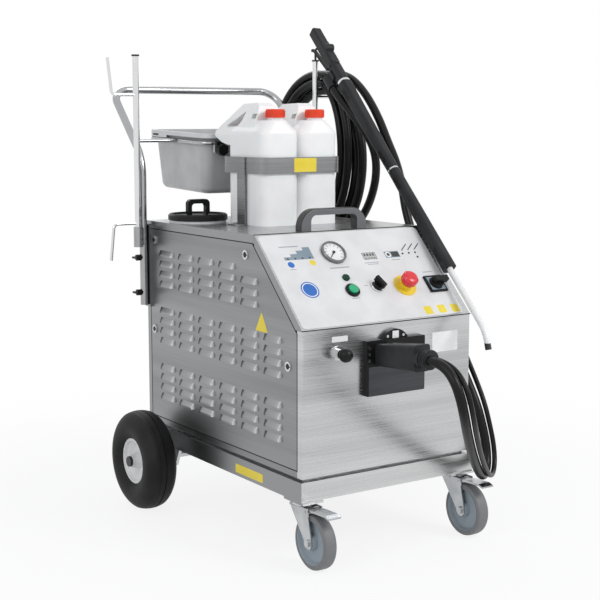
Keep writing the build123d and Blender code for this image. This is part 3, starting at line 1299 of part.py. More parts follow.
def lance_tube():
    """Bent lance tube with its nozzle."""
    start, corner, end, down = lance_points()
    route = [tuple(start), tuple(corner), tuple(end)]
    tube = bar(route, LANCE_R, LANCE_BEND) - bar(route, LANCE_R - LANCE_WALL, LANCE_BEND)
    mouth = Plane(origin=end, x_dir=(1, 0, 0), z_dir=tuple(down))
    nozzle = extrude(mouth * (Circle(LANCE_R) - Circle(LANCE_R - 2 * LANCE_WALL)), amount=NOZZLE_L, dir=down)
    return group(tube, nozzle)


def from_front(points):
    """Route points measured from the front face, in the shared frame."""
    return [(x, FRONT_Y + back, z) for x, back, z in points]


def lead_route():
    """Hose from the plug's gland to the coil."""
    x = PLUG_X - HOSE_SHIFT
    first = [(x, GLAND_END, TIP_Z), (x, GLAND_END - 25, TIP_Z)]
    top = COIL_TOP + 2 * COIL_STEP
    last = [(LAYER_OUT, COIL_END - 30, top), (LAYER_OUT, COIL_END, top)]
    return first + from_front(LEAD) + last


def tail_route():
    """Hose from the coil to the gun's inlet."""
    low = COIL_LOW - 2 * COIL_STEP
    first = [(LAYER_IN, COIL_END, low), (LAYER_IN, COIL_END - 26, low)]
    mouth = GUN.from_local_coords(Vector(INLET_SIDE, INLET_OFF, INLET_W))
    before = GUN.from_local_coords(Vector(INLET_SIDE, INLET_OFF, INLET_W - 30))
    return first + from_front(TAIL) + [tuple(before), tuple(mouth)]


def cord_radii(points):
    """Bend radius for each corner of a cord route."""
    runs = [Vector(*b) - Vector(*a) for a, b in zip(points, points[1:])]
    radii = []
    for one, two in zip(runs, runs[1:]):
        turn = radians(one.get_angle(two))
        radii.append(0.45 * min(one.length, two.length) / tan(turn / 2))
    return radii


def hose_run(name, points, radius=HOSE_R):
    """Hose or cable swept along straight runs and tangent arcs."""
    radii = cord_radii(points)
    path = FilletPolyline(*points, radius=radii)
    start = Plane(origin=points[0], z_dir=Vector(*points[1]) - Vector(*points[0]))
    tube = sweep(start * Circle(radius), path=path)
    share = tube.volume / (pi * radius ** 2 * path.length)
    print(f"{name}: length {path.length:.0f} mm, least radius {min(radii):.1f} mm, volume share {share:.4f}")
    return tube


def hose_cable():
    """Control cable from the plug's gland along the hose to its in-line connector."""
    x = PLUG_X + CABLE_SHIFT
    points = [(x, GLAND_END, TIP_Z), (x, GLAND_END - 25, TIP_Z)] + from_front(CABLE)
    end = Vector(*points[-1])
    along = (end - Vector(*points[-2])).normalized()
    connector = extrude(Plane(origin=end, z_dir=along) * Circle(CABLE_END_R), amount=CABLE_END_L)
    return group(hose_run("cable", points, CABLE_R), connector)


def coil_stations():
    """Points where the coil's half turns meet, as (x, z), down the outer layer and back up the inner."""
    tops = [COIL_TOP + step * COIL_STEP for step in range(3)]
    lows = [COIL_LOW - step * COIL_STEP for step in range(3)]
    inward = [(LAYER_OUT, tops[2]), (LAYER_OUT, lows[2]), (LAYER_OUT, tops[1]), (LAYER_OUT, lows[1]),
              (LAYER_OUT, tops[0])]
    outward = [(LAYER_IN, lows[0]), (LAYER_IN, tops[1]), (LAYER_IN, lows[1]), (LAYER_IN, tops[2]),
               (LAYER_IN, lows[2])]
    return inward + outward


def half_turn(first, second, side, radius):
    """Half turn of the coil between two stations: two quarter arcs and a straight side."""
    start, end = Vector(first[0], COIL_Y, first[1]), Vector(second[0], COIL_Y, second[1])
    along = (end - start).normalized()
    out = Vector(0, side * radius, 0)
    slant = radius * (1 - sin(radians(45)))
    turn = Vector(0, side * radius * sin(radians(45)), 0)
    a, b = start + along * radius + out, end - along * radius + out
    return [ThreePointArc(start, start + along * slant + turn, a), Line(a, b),
            ThreePointArc(b, end - along * slant + turn, end)]


def hose_coil():
    """Hose wound in two layers over the right post's hook."""
    stations = coil_stations()
    rear = [COIL_REAR + COIL_STEP * step for step in (2, 1, 0, 1, 2)]
    x, z = stations[0]
    edges = [Line((x, COIL_END, z), (x, COIL_Y, z))]
    for count, (first, second) in enumerate(zip(stations, stations[1:])):
        if count % 2 == 0:
            edges += half_turn(first, second, 1, rear[count // 2])
        else:
            edges += half_turn(first, second, -1, COIL_FRONT[count // 2])
    last_x, last_z = stations[-1]
    edges.append(Line((last_x, COIL_Y, last_z), (last_x, COIL_END, last_z)))
    path = Wire(edges)
    start = Plane(origin=(x, COIL_END, z), z_dir=(0, 1, 0))
    tube = sweep(start * Circle(HOSE_R), path=path)
    gap = min(COIL_STEP, LAYER_OUT - LAYER_IN) - 2 * HOSE_R
    share = tube.volume / (pi * HOSE_R ** 2 * path.length)
    print(f"coil: length {path.length:.0f} mm, least self-gap {gap:.2f} mm, volume share {share:.4f}")
    return tube


def boiler():
    """Insulated boiler on its foot ring with the steam valve on top."""
    y = FRONT_Y + BOILER_IN
    low = FLOOR_Z + BOILER_FOOT
    shell = rod_z(BOILER_R, BOILER_X, y, low, low + BOILER_H)
    shell += rod_z(BOILER_R - 20, BOILER_X, y, FLOOR_Z, low + 1)
    valve = rod_z(VALVE_R, BOILER_X, y, low + BOILER_H, low + BOILER_H + VALVE_H)
    valve += rod_x(VALVE_R - 5, BOILER_X, BOILER_X + 45, y, low + BOILER_H + VALVE_H / 2)
    return group(shell, valve)


def water_pump():
    """Feed pump on the cabinet floor."""
    y = FRONT_Y + PUMP_IN
    y0, y1 = y - PUMP_L / 2, y + PUMP_L / 2
    pump = block(PUMP_X - PUMP_W / 2, PUMP_X + PUMP_W / 2, y0, y1, FLOOR_Z, FLOOR_Z + PUMP_H)
    return pump + rod_y(PUMP_W / 2 - 5, PUMP_X, y0 - 60, y0 + 1, FLOOR_Z + PUMP_W / 2)


SIDES = {"left": -1, "right": 1}


def make_parts():
    """All sub-parts by name."""
    parts = {
        "base_frame": base_frame(), "rear_axle": rear_axle(), "front_cover": front_cover(),
        "rear_cover": rear_cover(), "control_panel": control_panel(), "control_overlay": control_overlay(),
        "top_deck": top_deck(), "panel_locks": panel_locks(), "pressure_gauge": pressure_gauge(),
        "gauge_needle": gauge_needle(), "switch_collars": switch_collars(), "start_button": start_button(),
        "selector_knob": selector_knob(), "stop_collar": stop_collar(), "stop_button": stop_button(),
        "isolator_plate": isolator_plate(), "isolator_handle": isolator_handle(), "pull_knob": pull_knob(),
        "socket_plate": socket_plate(), "plug": plug(), "deck_handle": deck_handle(), "tank_lid": tank_lid(),
        "can_strap": can_strap(), "push_handle": push_handle(), "handle_brackets": handle_brackets(),
        "hook_posts": hook_posts(), "tub": tub(), "tub_ring": tub_ring(), "ring_knob": ring_knob(),
        "gun_body": gun_body(), "gun_trigger": gun_trigger(), "gun_sleeves": gun_sleeves(),
        "lance_tube": lance_tube(), "hose_lead": hose_run("lead", lead_route()), "hose_coil": hose_coil(),
        "hose_tail": hose_run("tail", tail_route()), "water_tank": water_tank(), "boiler": boiler(),
        "water_pump": water_pump(), "hose_cable": hose_cable(),
    }
    for name, side in SIDES.items():
        parts[f"rear_tyre_{name}"] = rear_tyre(side)
        parts[f"rear_rim_{name}"] = rear_rim(side)
        parts[f"caster_fork_{name}"] = caster_fork(side)
        parts[f"caster_wheel_{name}"] = caster_wheel(side)
        parts[f"brake_pedal_{name}"] = brake_pedal(side)
        parts[f"side_panel_{name}"] = side_panel(side)
        parts[f"can_{name}"] = can(side)
        parts[f"can_cap_{name}"] = can_cap(side)
        parts[f"clamp_low_{name}"] = clamp_knob(side, CLAMP_Z[0])
        parts[f"clamp_high_{name}"] = clamp_knob(side, CLAMP_Z[1])
    return parts


os.makedirs("parts", exist_ok=True)
for node, shape in make_parts().items():
    shape.label = node
    export_step(shape, f"parts/{node}.step")
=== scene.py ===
from math import cos, pi, radians, sin, sqrt

import bmesh
import bpy
from mathutils import Matrix, Vector


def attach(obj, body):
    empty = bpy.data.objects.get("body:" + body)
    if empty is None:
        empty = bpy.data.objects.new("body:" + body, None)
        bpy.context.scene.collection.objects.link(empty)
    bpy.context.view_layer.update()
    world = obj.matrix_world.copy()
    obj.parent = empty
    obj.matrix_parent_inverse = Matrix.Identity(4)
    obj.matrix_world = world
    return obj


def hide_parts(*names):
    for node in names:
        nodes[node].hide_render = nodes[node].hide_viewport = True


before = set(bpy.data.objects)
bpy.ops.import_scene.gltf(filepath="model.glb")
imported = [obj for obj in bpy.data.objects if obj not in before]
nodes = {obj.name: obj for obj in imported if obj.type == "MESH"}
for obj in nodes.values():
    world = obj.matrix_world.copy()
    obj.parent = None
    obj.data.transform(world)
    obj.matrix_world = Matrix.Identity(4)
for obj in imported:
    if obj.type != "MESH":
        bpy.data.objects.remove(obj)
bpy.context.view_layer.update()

scene = bpy.context.scene
MM = 0.001

# Directions: the front cover faces AHEAD, and the control panel rises along UP_SLOPE
UP, DOWN = (0, 0, 1), (0, 0, -1)
AHEAD, BACK = (0, -1, 0), (0, 1, 0)
TO_RIGHT, TO_LEFT = (1, 0, 0), (-1, 0, 0)
UP_SLOPE = (0, sqrt(0.5), sqrt(0.5))

# Sizes that the part gives, in millimetres
FRONT_Y = -413.0
REAR_Y = 315.0
SLOPE_Y = -217.0
BODY_Z = 200.0
FRONT_TOP = 531.0
DECK_Z = 727.0
HALF = 240.0
FRAME_X = 248.0
FRAME_TOP = 195.0
RETURN = 20.0
SILL_H = 15.0
OVERLAY_T = 0.8
SOCKET_T = 15.0
FLANGE_T = 10.0
GAUGE_AT = (-55.0, 208.0)
DIAL_H = 4.8
DIAL_R = 27.5
ISOLATOR_AT = (186.0, 94.0)
ISOLATOR_T = 5.0
STRAP_FACE = -45.5
AXLE_CAP_X = 357.8
POST_CAP_Z = 1145.5
CLAMP_BLOCK_Y = 197.5
LANCE_TIP_Z = 475.7
GRIP_FACE_Y = -205.5
LAMP_FACE = 207.5
SELECTOR_X = -10.0
PULL_X = -120.0
LOCK_H = 3.0
# Panel locks of either side, as y and z
LOCKS = [(271.0, 679.0), (-181.0, 679.0), (273.0, 446.0), (-359.0, 446.0)]
TUB_Y = 355.0
CASTER_AXLE = (-437.0, 62.5)
CAP_X = {"left": -48.5, "right": 68.5}
CAP_Y = -10.0
CAP_Z = 1001.0
CAP_R = 23.5
LOUVRE_END = 239.0
LOUVRE_PITCH = 100.0
COIL_Y = 311.0
LAYER_IN = 302.0
LAYER_OUT = 325.5
HOSE_R = 11.0
CABLE_R = 6.0
GUN_LOW = Vector((229.0, FRONT_Y + 63.5, 632.5))
GUN_HIGH = Vector((293.5, 315.0, 1228.0))
GUN_RING = (673.5, 681.5)
SLEEVE_JOINT = (337.5, 342.5)

# Camera at the photograph's angle, which dips below level and has no roll
SENSOR_WIDTH = 36.0
LENS = 77.6
CAMERA_AT = (-1.78657, -2.70762, 0.9867)
CAMERA_DIP = 7.94
CAMERA_TURN = -33.88


def place_camera():
    """Camera of the photograph."""
    data = bpy.data.cameras.new("camera")
    data.sensor_width = SENSOR_WIDTH
    data.lens = LENS
    camera = bpy.data.objects.new("camera", data)
    camera.location = CAMERA_AT
    camera.rotation_euler = (radians(90 - CAMERA_DIP), 0, radians(CAMERA_TURN))
    scene.collection.objects.link(camera)
    scene.camera = camera


place_camera()

# Materials, with the sizes of their patterns in millimetres
# Grit lines are about 0.1 mm apart on the sheet; drawn 1.6 mm apart so that they show
GRIT_GAP, GRIT_RUN = 1.6, 260.0
# Rolling leaves broad bands along the grain
BAND_GAP, BAND_RUN = 60.0, 1800.0
BAND_SHARE = 0.6
STEEL_STOPS = (0.36, 0.64)
GRIT_DEPTH = 0.2
# The grain makes the gloss of the sheet a little softer or sharper
GRAIN_RANGE = (0.3, 0.7)
SHARPER, SOFTER = 0.06, 0.08
# Mouldings have soft clouds of colour over a grain of about 0.2 mm; their grits are drawn coarser to show
MOTTLE = 60.0
MOULD_STOPS = (0.35, 0.65)
MOULD_RELIEF = 0.25
# Painted light on a louvre hood by share of the column pitch, from its rear end to the sheet before the
# next: a painted shadow at the rear end, a painted highlight at the front end
LOUVRE_SHADOW_AND_HIGHLIGHT = [
    (0.07, "#454647"), (0.15, "#929395"), (0.50, "#9B9C9E"), (0.62, "#A9AAAC"), (0.65, "#D2D3D4"),
    (0.72, "#454647"),
]
# A finish that changes at a face starts this far from it
LOUVRE_SKIN = 0.3
TOP_SKIN = 0.5
EDGE_SKIN = 0.6
# The tub's walls end here to the side, to front and rear, and at its corners
TUB_WALLS = [(TO_RIGHT, 125.0), (BACK, 148.0), ((sqrt(0.5), sqrt(0.5), 0), 183.0)]
# Places of the first and second input and of the result on a mix node
MIX_SOCKETS = {"FLOAT": (2, 3, 0), "RGBA": (6, 7, 2)}


def colour(code):
    """Linear colour of an sRGB hex code."""
    parts = [int(code[i:i + 2], 16) / 255 for i in (1, 3, 5)]
    return tuple(c / 12.92 if c <= 0.04045 else ((c + 0.055) / 1.055) ** 2.4 for c in parts) + (1.0,)


def add_node(tree, kind, settings=None, values=None, joins=None):
    """Adds one node with its settings, socket values and links."""
    node = tree.nodes.new(kind)
    for key, value in (settings or {}).items():
        setattr(node, key, value)
    for key, value in (values or {}).items():
        node.inputs[key].default_value = value
    for key, source in (joins or {}).items():
        tree.links.new(source, node.inputs[key])
    return node


def start_material(name, values):
    """Material with its shader, and the tree to add nodes to."""
    material = bpy.data.materials.new(name)
    material.use_nodes = True
    tree = material.node_tree
    shader = tree.nodes["Principled BSDF"]
    for key, value in values.items():
        shader.inputs[key].default_value = value
    place = add_node(tree, "ShaderNodeTexCoord").outputs["Object"]
    return material, tree, shader, place


def set_tones(ramp, tones):
    """Gives a colour ramp its stops, each a position and a hex code."""
    stops = ramp.color_ramp.elements
    for index, (position, code) in enumerate(tones):
        stop = stops[index] if index < 2 else stops.new(position)
        stop.position, stop.color = position, colour(code)


def dress_shader(tree, shader, ramp, height, strength, depth):
    """Joins a colour ramp and a fine relief, in millimetres, to the shader."""
    bump = add_node(tree, "ShaderNodeBump", values={"Strength": strength, "Distance": depth * MM},
                    joins={"Height": height})
    tree.links.new(ramp.outputs["Color"], shader.inputs["Base Color"])
    tree.links.new(bump.outputs["Normal"], shader.inputs["Normal"])


def draw_streaks(tree, place, along, gap, run, values):
    """Streaks along the given axes, a gap apart and as long as their run."""
    scale = [1 / (run * MM) if axis in along else 1 / (gap * MM) for axis in "XYZ"]
    drawn = add_node(tree, "ShaderNodeMapping", values={"Scale": scale}, joins={"Vector": place})
    return add_node(tree, "ShaderNodeTexNoise", values={"Scale": 1.0, **values},
                    joins={"Vector": drawn.outputs["Vector"]}).outputs["Fac"]


def brushed_steel(name, dark, light, along, roughness, relief=0.07):
    """Cold-rolled stainless sheet with a long grain: soft streaks that stretch what it mirrors."""
    material, tree, shader, place = start_material(name, {"Metallic": 1.0})
    grain = draw_streaks(tree, place, along, GRIT_GAP, GRIT_RUN, {"Detail": 4.0, "Roughness": 0.65})
    bands = draw_streaks(tree, place, along, BAND_GAP, BAND_RUN, {"Detail": 2.0})
    first, second, result = MIX_SOCKETS["FLOAT"]
    blend = add_node(tree, "ShaderNodeMix", values={0: BAND_SHARE}, joins={first: grain, second: bands})
    ramp = add_node(tree, "ShaderNodeValToRGB", joins={"Fac": blend.outputs[result]})
    set_tones(ramp, zip(STEEL_STOPS, (dark, light)))
    rough = add_node(tree, "ShaderNodeMapRange", joins={"Value": grain}, values={
        "From Min": GRAIN_RANGE[0], "From Max": GRAIN_RANGE[1],
        "To Min": roughness - SHARPER, "To Max": roughness + SOFTER})
    tree.links.new(rough.outputs["Result"], shader.inputs["Roughness"])
    dress_shader(tree, shader, ramp, grain, relief, GRIT_DEPTH)
    return material


def moulded(name, dark, light, grit, values, depth=0.05):
    """Moulded or painted piece: a little mottling in the colour and a grain, its grit in millimetres."""
    material, tree, shader, place = start_material(name, values)
    grain = add_node(tree, "ShaderNodeTexNoise", values={"Scale": 1 / (grit * MM), "Detail": 3.0},
                     joins={"Vector": place})
    cloud = add_node(tree, "ShaderNodeTexNoise", values={"Scale": 1 / (MOTTLE * MM), "Detail": 2.0},
                     joins={"Vector": place})
    ramp = add_node(tree, "ShaderNodeValToRGB", joins={"Fac": cloud.outputs["Fac"]})
    set_tones(ramp, zip(MOULD_STOPS, (dark, light)))
    dress_shader(tree, shader, ramp, grain.outputs["Fac"], MOULD_RELIEF, depth)
    return material


def louvre_painted_light(material):
    """Pressed hoods on the side sheets with painted light: a painted shadow dark at the rear end, a painted
    highlight bright at the front end.
    """
    tree = material.node_tree
    base = tree.nodes["Principled BSDF"].inputs["Base Color"]
    place = add_node(tree, "ShaderNodeTexCoord").outputs["Object"]
    axes = add_node(tree, "ShaderNodeSeparateXYZ", joins={0: place})
    # Share of the column pitch, counted forward from a hood's rear end
    turned = add_node(tree, "ShaderNodeMapRange", {"clamp": False}, {
        "From Min": LOUVRE_END * MM, "From Max": (LOUVRE_END - LOUVRE_PITCH) * MM},
        {"Value": axes.outputs["Y"]})
    share = add_node(tree, "ShaderNodeMath", {"operation": "FRACT"}, joins={0: turned.outputs["Result"]})
    ramp = add_node(tree, "ShaderNodeValToRGB", joins={"Fac": share.outputs["Value"]})
    set_tones(ramp, LOUVRE_SHADOW_AND_HIGHLIGHT)
    out = add_node(tree, "ShaderNodeMath", {"operation": "ABSOLUTE"}, joins={0: axes.outputs["X"]})
    proud = add_node(tree, "ShaderNodeMath", {"operation": "GREATER_THAN"}, {1: (HALF + LOUVRE_SKIN) * MM},
                     {0: out.outputs["Value"]})
    first, second, result = MIX_SOCKETS["RGBA"]
    mix = add_node(tree, "ShaderNodeMix", {"data_type": "RGBA"}, joins={
        0: proud.outputs["Value"], first: base.links[0].from_socket, second: ramp.outputs["Color"]})
    tree.links.new(mix.outputs[result], base)
    return material


def lay_finish(material, where, code, metallic, roughness):
    """Lays another finish on the piece where a socket gives one."""
    tree = material.node_tree
    shader = tree.nodes["Principled BSDF"]
    finish = {"Base Color": ("RGBA", colour(code)), "Metallic": ("FLOAT", metallic),
              "Roughness": ("FLOAT", roughness)}
    for name, (kind, value) in finish.items():
        socket = shader.inputs[name]
        first, second, result = MIX_SOCKETS[kind]
        mix = add_node(tree, "ShaderNodeMix", {"data_type": kind}, {second: value}, {0: where})
        if socket.is_linked:
            tree.links.new(socket.links[0].from_socket, mix.inputs[first])
        else:
            mix.inputs[first].default_value = socket.default_value
        tree.links.new(mix.outputs[result], socket)
    return material


def second_finish(material, direction, limit, code, metallic, roughness, upper=None):
    """Other finish beyond a limit along a direction, and below an upper one if given, in millimetres."""
    tree = material.node_tree
    place = add_node(tree, "ShaderNodeTexCoord").outputs["Object"]
    along = add_node(tree, "ShaderNodeVectorMath", {"operation": "DOT_PRODUCT"}, {1: direction}, {0: place})
    beyond = add_node(tree, "ShaderNodeMath", {"operation": "GREATER_THAN"}, {1: limit * MM},
                      {0: along.outputs["Value"]})
    if upper is not None:
        below = add_node(tree, "ShaderNodeMath", {"operation": "LESS_THAN"}, {1: upper * MM},
                         {0: along.outputs["Value"]})
        beyond = add_node(tree, "ShaderNodeMath", {"operation": "MULTIPLY"}, joins={
            0: beyond.outputs["Value"], 1: below.outputs["Value"]})
    return lay_finish(material, beyond.outputs["Value"], code, metallic, roughness)


def rim_highlight(material):
    """Smooth rim round the tub, painted paler as a painted highlight: all that stands out further than the
    tub's own walls.
    """
    tree = material.node_tree
    place = add_node(tree, "ShaderNodeTexCoord").outputs["Object"]
    middle = add_node(tree, "ShaderNodeVectorMath", {"operation": "SUBTRACT"}, {1: (0, TUB_Y * MM, 0)},
                      {0: place})
    out = add_node(tree, "ShaderNodeVectorMath", {"operation": "ABSOLUTE"},
                   joins={0: middle.outputs["Vector"]})
    where = None
    for direction, limit in TUB_WALLS:
        along = add_node(tree, "ShaderNodeVectorMath", {"operation": "DOT_PRODUCT"}, {1: direction},
                         {0: out.outputs["Vector"]})
        beyond = add_node(tree, "ShaderNodeMath", {"operation": "GREATER_THAN"}, {1: limit * MM},
                          {0: along.outputs["Value"]}).outputs["Value"]
        if where is not None:
            beyond = add_node(tree, "ShaderNodeMath", {"operation": "MAXIMUM"}, joins={
                0: where, 1: beyond}).outputs["Value"]
        where = beyond
    return lay_finish(material, where, "#D8D9DA", metallic=0.0, roughness=0.3)


# Brushed stainless sheet: pale grey with fine level lines and soft bands
STEEL_FRONT = brushed_steel("brushed_stainless_front", "#ABACAE", "#D2D3D4", "XY",
                            roughness=0.27, relief=0.03)
# The side sheets are the front's stainless painted darker: painted shade on the sides turned from the lamps
STEEL_SIDE = louvre_painted_light(
    brushed_steel("brushed_stainless_side", "#818284", "#9C9D9F", "XY", roughness=0.34, relief=0.04))
STEEL_DECK = brushed_steel("brushed_stainless_deck", "#ABACAE", "#BDBEBF", "Y", roughness=0.28)
STEEL_FRAME = brushed_steel("brushed_stainless_frame", "#BCBDBE", "#D4D5D5", "XY", roughness=0.28)
# Everything of this finish above the frame's top, the plinth and sills among it, is painted darker: painted
# shade in the gap under the body
second_finish(STEEL_FRAME, UP, FRAME_TOP + TOP_SKIN, "#8C8D8F", metallic=1.0, roughness=0.3)
STEEL_BENT = brushed_steel("brushed_stainless_bent", "#B2B3B5", "#C8C9CA", "XY",
                           roughness=0.27, relief=0.03)
# Bent edges and rails facing the sides take the darker tone of the side sheets: painted shade on faces
# turned from the lamps
for finish, reach in ((STEEL_FRAME, FRAME_X), (STEEL_BENT, HALF), (STEEL_DECK, HALF)):
    second_finish(finish, TO_RIGHT, reach - EDGE_SKIN, "#949597", metallic=1.0, roughness=0.3)
    second_finish(finish, TO_LEFT, reach - EDGE_SKIN, "#949597", metallic=1.0, roughness=0.3)
# The strap takes the darker tone of the side sheets: painted shade, for the dark reflections on its front
STEEL_STRAP = brushed_steel("brushed_stainless_strap", "#818284", "#939496", "XY",
                            roughness=0.30, relief=0.03)
# Blackened stainless: the same lines, nearly as dark as the plastic beside it
STEEL_DARK = brushed_steel("brushed_stainless_dark", "#424346", "#5B5C5F", "X", roughness=0.34)
# Drawn and polished stainless tube: a clear mirror with soft long reflections; its tone is painted darker,
# a painted reflection of dark surroundings
TUBE = brushed_steel("polished_stainless_tube", "#9C9D9F", "#B4B5B7", "XYZ", roughness=0.20, relief=0.01)
# Posts of the same tube, painted paler as a painted highlight, with black moulded caps
POST = brushed_steel("polished_stainless_post", "#D4D5D6", "#E4E4E5", "XYZ", roughness=0.13, relief=0.01)
second_finish(POST, UP, POST_CAP_Z, "#151515", metallic=0.0, roughness=0.4)
# Rod ring with a black moulded clamp block at the front
RING = brushed_steel("polished_stainless_ring", "#9C9D9F", "#B4B5B7", "XYZ", roughness=0.13, relief=0.01)
second_finish(RING, AHEAD, -CLAMP_BLOCK_Y, "#141415", metallic=0.0, roughness=0.42)
# White painted lance tube with a dark nozzle
LANCE = moulded("painted_steel_lance", "#E9E9EA", "#F3F3F3", 1.5,
                {"Roughness": 0.3, "IOR": 1.5}, depth=0.02)
second_finish(LANCE, DOWN, -LANCE_TIP_Z, "#1B1B1C", metallic=0.0, roughness=0.4)
# Zinc plate on pressed steel: pale, slightly blue, a soft gloss
PLATED = {"Metallic": 1.0, "Roughness": 0.25}
ZINC = moulded("zinc_plated_steel", "#A9ACAF", "#C4C6C8", 3.0, PLATED, depth=0.1)
# The axle carries black push-on caps
AXLE = moulded("zinc_plated_axle", "#B9BCBF", "#D3D5D7", 3.0, PLATED, depth=0.1)
second_finish(AXLE, TO_RIGHT, AXLE_CAP_X, "#1A1A1B", metallic=0.0, roughness=0.45)
second_finish(AXLE, TO_LEFT, AXLE_CAP_X, "#1A1A1B", metallic=0.0, roughness=0.45)
# Printed polyester film: satin, pale grey
FILM = moulded("printed_polyester_film", "#DCDCDD", "#E6E6E7", 1.2,
               {"Roughness": 0.34, "IOR": 1.57}, depth=0.02)
# Black plastics and rubber are textured, which halves their gloss
DULL = {"IOR": 1.5, "Specular IOR Level": 0.22}
# Moulded ABS: near black with a fine spark-eroded grain
ABS = moulded("moulded_abs_black", "#0F0F10", "#171718", 0.9, {"Roughness": 0.38, **DULL})
# Glass-filled nylon: dark grey, drier than ABS
NYLON = moulded("glass_filled_nylon_black", "#27282A", "#343537", 0.9, {"Roughness": 0.42, **DULL})
GREY_NYLON = moulded("glass_filled_nylon_grey", "#2E2F31", "#3A3B3D", 1.0, {"Roughness": 0.45, "IOR": 1.53})
# The deck handle's front face is painted a paler grey: painted light on the face turned to the lamps
DECK_GRIP = moulded("deck_grip_nylon", "#1D1E20", "#28292B", 1.0, {"Roughness": 0.42, "IOR": 1.53})
second_finish(DECK_GRIP, AHEAD, -GRIP_FACE_Y, "#626366", metallic=0.0, roughness=0.45)
# Extruded rubber hose and seam strip: black with a long soft gloss
HOSE = moulded("extruded_rubber_hose", "#0A0A0A", "#131313", 4.0, {"Roughness": 0.34, **DULL}, depth=0.7)
SEAL = moulded("extruded_rubber_seal", "#0C0C0C", "#151515", 1.2, {"Roughness": 0.6, **DULL})
# Vulcanised tyre rubber: matt black, a little dusty
TYRE = moulded("vulcanised_tyre_rubber", "#141414", "#202020", 1.6, {"Roughness": 0.6, **DULL}, depth=0.25)
# Powder coat on the rims: near white, soft gloss
RIM = moulded("powder_coated_rim", "#DCDDDD", "#E8E8E8", 1.0, {"Roughness": 0.45, "IOR": 1.5})
# Blow-moulded polyethylene: milky white that lets some light in
MILKY = {"Roughness": 0.36, "IOR": 1.54, "Subsurface Weight": 0.12, "Subsurface Scale": 0.02}
CAN = moulded("blow_moulded_polyethylene", "#F2F3F3", "#F8F8F8", 2.5, MILKY, depth=0.06)
# Moulded polypropylene: even colour with a waxy gloss
CAP = moulded("moulded_polypropylene_red", "#E23A17", "#F04A22", 1.2, {"Roughness": 0.36, "IOR": 1.49})
TUB = rim_highlight(
    moulded("moulded_polypropylene_grey", "#B8B9BA", "#C4C5C6", 1.4, {"Roughness": 0.42, "IOR": 1.49}))
# Moulded polycarbonate switch pieces: clear bright colour with a hard gloss
STOP_RED = moulded("moulded_polycarbonate_red", "#D8202B", "#E42D36", 1.5,
                   {"Roughness": 0.24, "IOR": 1.58}, depth=0.02)
STOP_YELLOW = moulded("moulded_polycarbonate_yellow", "#EBC91C", "#F2D53A", 1.5,
                      {"Roughness": 0.3, "IOR": 1.58}, depth=0.02)
START_GREEN = moulded("moulded_polycarbonate_green", "#17A06C", "#23B37D", 1.5,
                      {"Roughness": 0.25, "IOR": 1.58}, depth=0.02)
# Chrome plate on brass: the brightest metal here
CHROME = brushed_steel("chrome_plated_brass", "#C9C9CA", "#DADADB", "X", roughness=0.10, relief=0.01)
# Bead-blasted stainless gauge case: darker than the plated pieces
CASE = brushed_steel("blasted_stainless_case", "#6A6B6D", "#848587", "X", roughness=0.24)
# Rotation-moulded polyethylene tank: pale and matt
TANK = moulded("roto_moulded_polyethylene", "#C8CBCB", "#D6D8D8", 2.0, {"Roughness": 0.5, "IOR": 1.54})
# Screen printing inks and printed vinyl: flat satin colour with a faint weave from the screen
INK = {"Roughness": 0.4, "IOR": 1.5}
INK_BLUE = moulded("screen_ink_blue", "#1F63B8", "#2A70C4", 0.8, INK, depth=0.02)
INK_SLATE = moulded("screen_ink_slate", "#7E909C", "#8B9CA7", 0.8, INK, depth=0.02)
INK_DARK = moulded("screen_ink_dark", "#2A2B2D", "#363739", 0.8, INK, depth=0.02)
INK_GREY = moulded("screen_ink_grey", "#9DA1A8", "#AAADB3", 0.8, INK, depth=0.02)
VINYL_WHITE = moulded("printed_vinyl_white", "#EDEDED", "#F4F4F4", 0.8, INK, depth=0.02)
VINYL_YELLOW = moulded("printed_vinyl_yellow", "#EBD334", "#F2DC48", 0.8, INK, depth=0.02)
# Display glass: grey green, smooth
GLASS = moulded("display_glass", "#B4B9B4", "#C1C5C1", 1.0, {"Roughness": 0.15, "IOR": 1.52}, depth=0.01)


def make_collar_finish():
    """Black thermoplastic switch collars, a dark green lamp, plated rings on selector and pull knob."""
    material = moulded("switch_collar_abs", "#101011", "#18181A", 0.9, {"Roughness": 0.3, **DULL})
    second_finish(material, UP_SLOPE, LAMP_FACE, "#0B3C27", metallic=0.0, roughness=0.18)
    second_finish(material, TO_RIGHT, SELECTOR_X, "#D2D3D4", metallic=1.0, roughness=0.2)
    return second_finish(material, TO_LEFT, -PULL_X, "#D2D3D4", metallic=1.0, roughness=0.2)


COLLAR = make_collar_finish()

GUN_AXIS = (GUN_HIGH - GUN_LOW).normalized()
GUN_START = GUN_LOW.dot(GUN_AXIS)
GUN_X = (Vector(TO_RIGHT) - GUN_AXIS * GUN_AXIS.x).normalized()
GUN_Y = GUN_AXIS.cross(GUN_X)


def gun_finish(name, band):
    """Gun plastic with one bright metal ring between two places along the gun."""
    material = moulded(name, "#1C1D1F", "#27282A", 0.9, {"Roughness": 0.42, **DULL})
    return second_finish(material, tuple(GUN_AXIS), GUN_START + band[0], "#D5D6D7",
                         metallic=1.0, roughness=0.18, upper=GUN_START + band[1])


GUN_BODY = gun_finish("gun_body_nylon", GUN_RING)
GUN_SLEEVE = gun_finish("gun_sleeve_nylon", SLEEVE_JOINT)

# Tones of a caster wheel by distance from its axle, in metres: centre, pale seam and tread
CASTER_TONES = [(0.0, "#98A3AB"), (0.0475, "#C9CDD0"), (0.0495, "#78797B")]
CASTER_GRIT = 1.5
CASTER_RELIEF = 0.2
CASTER_DEPTH = 0.1


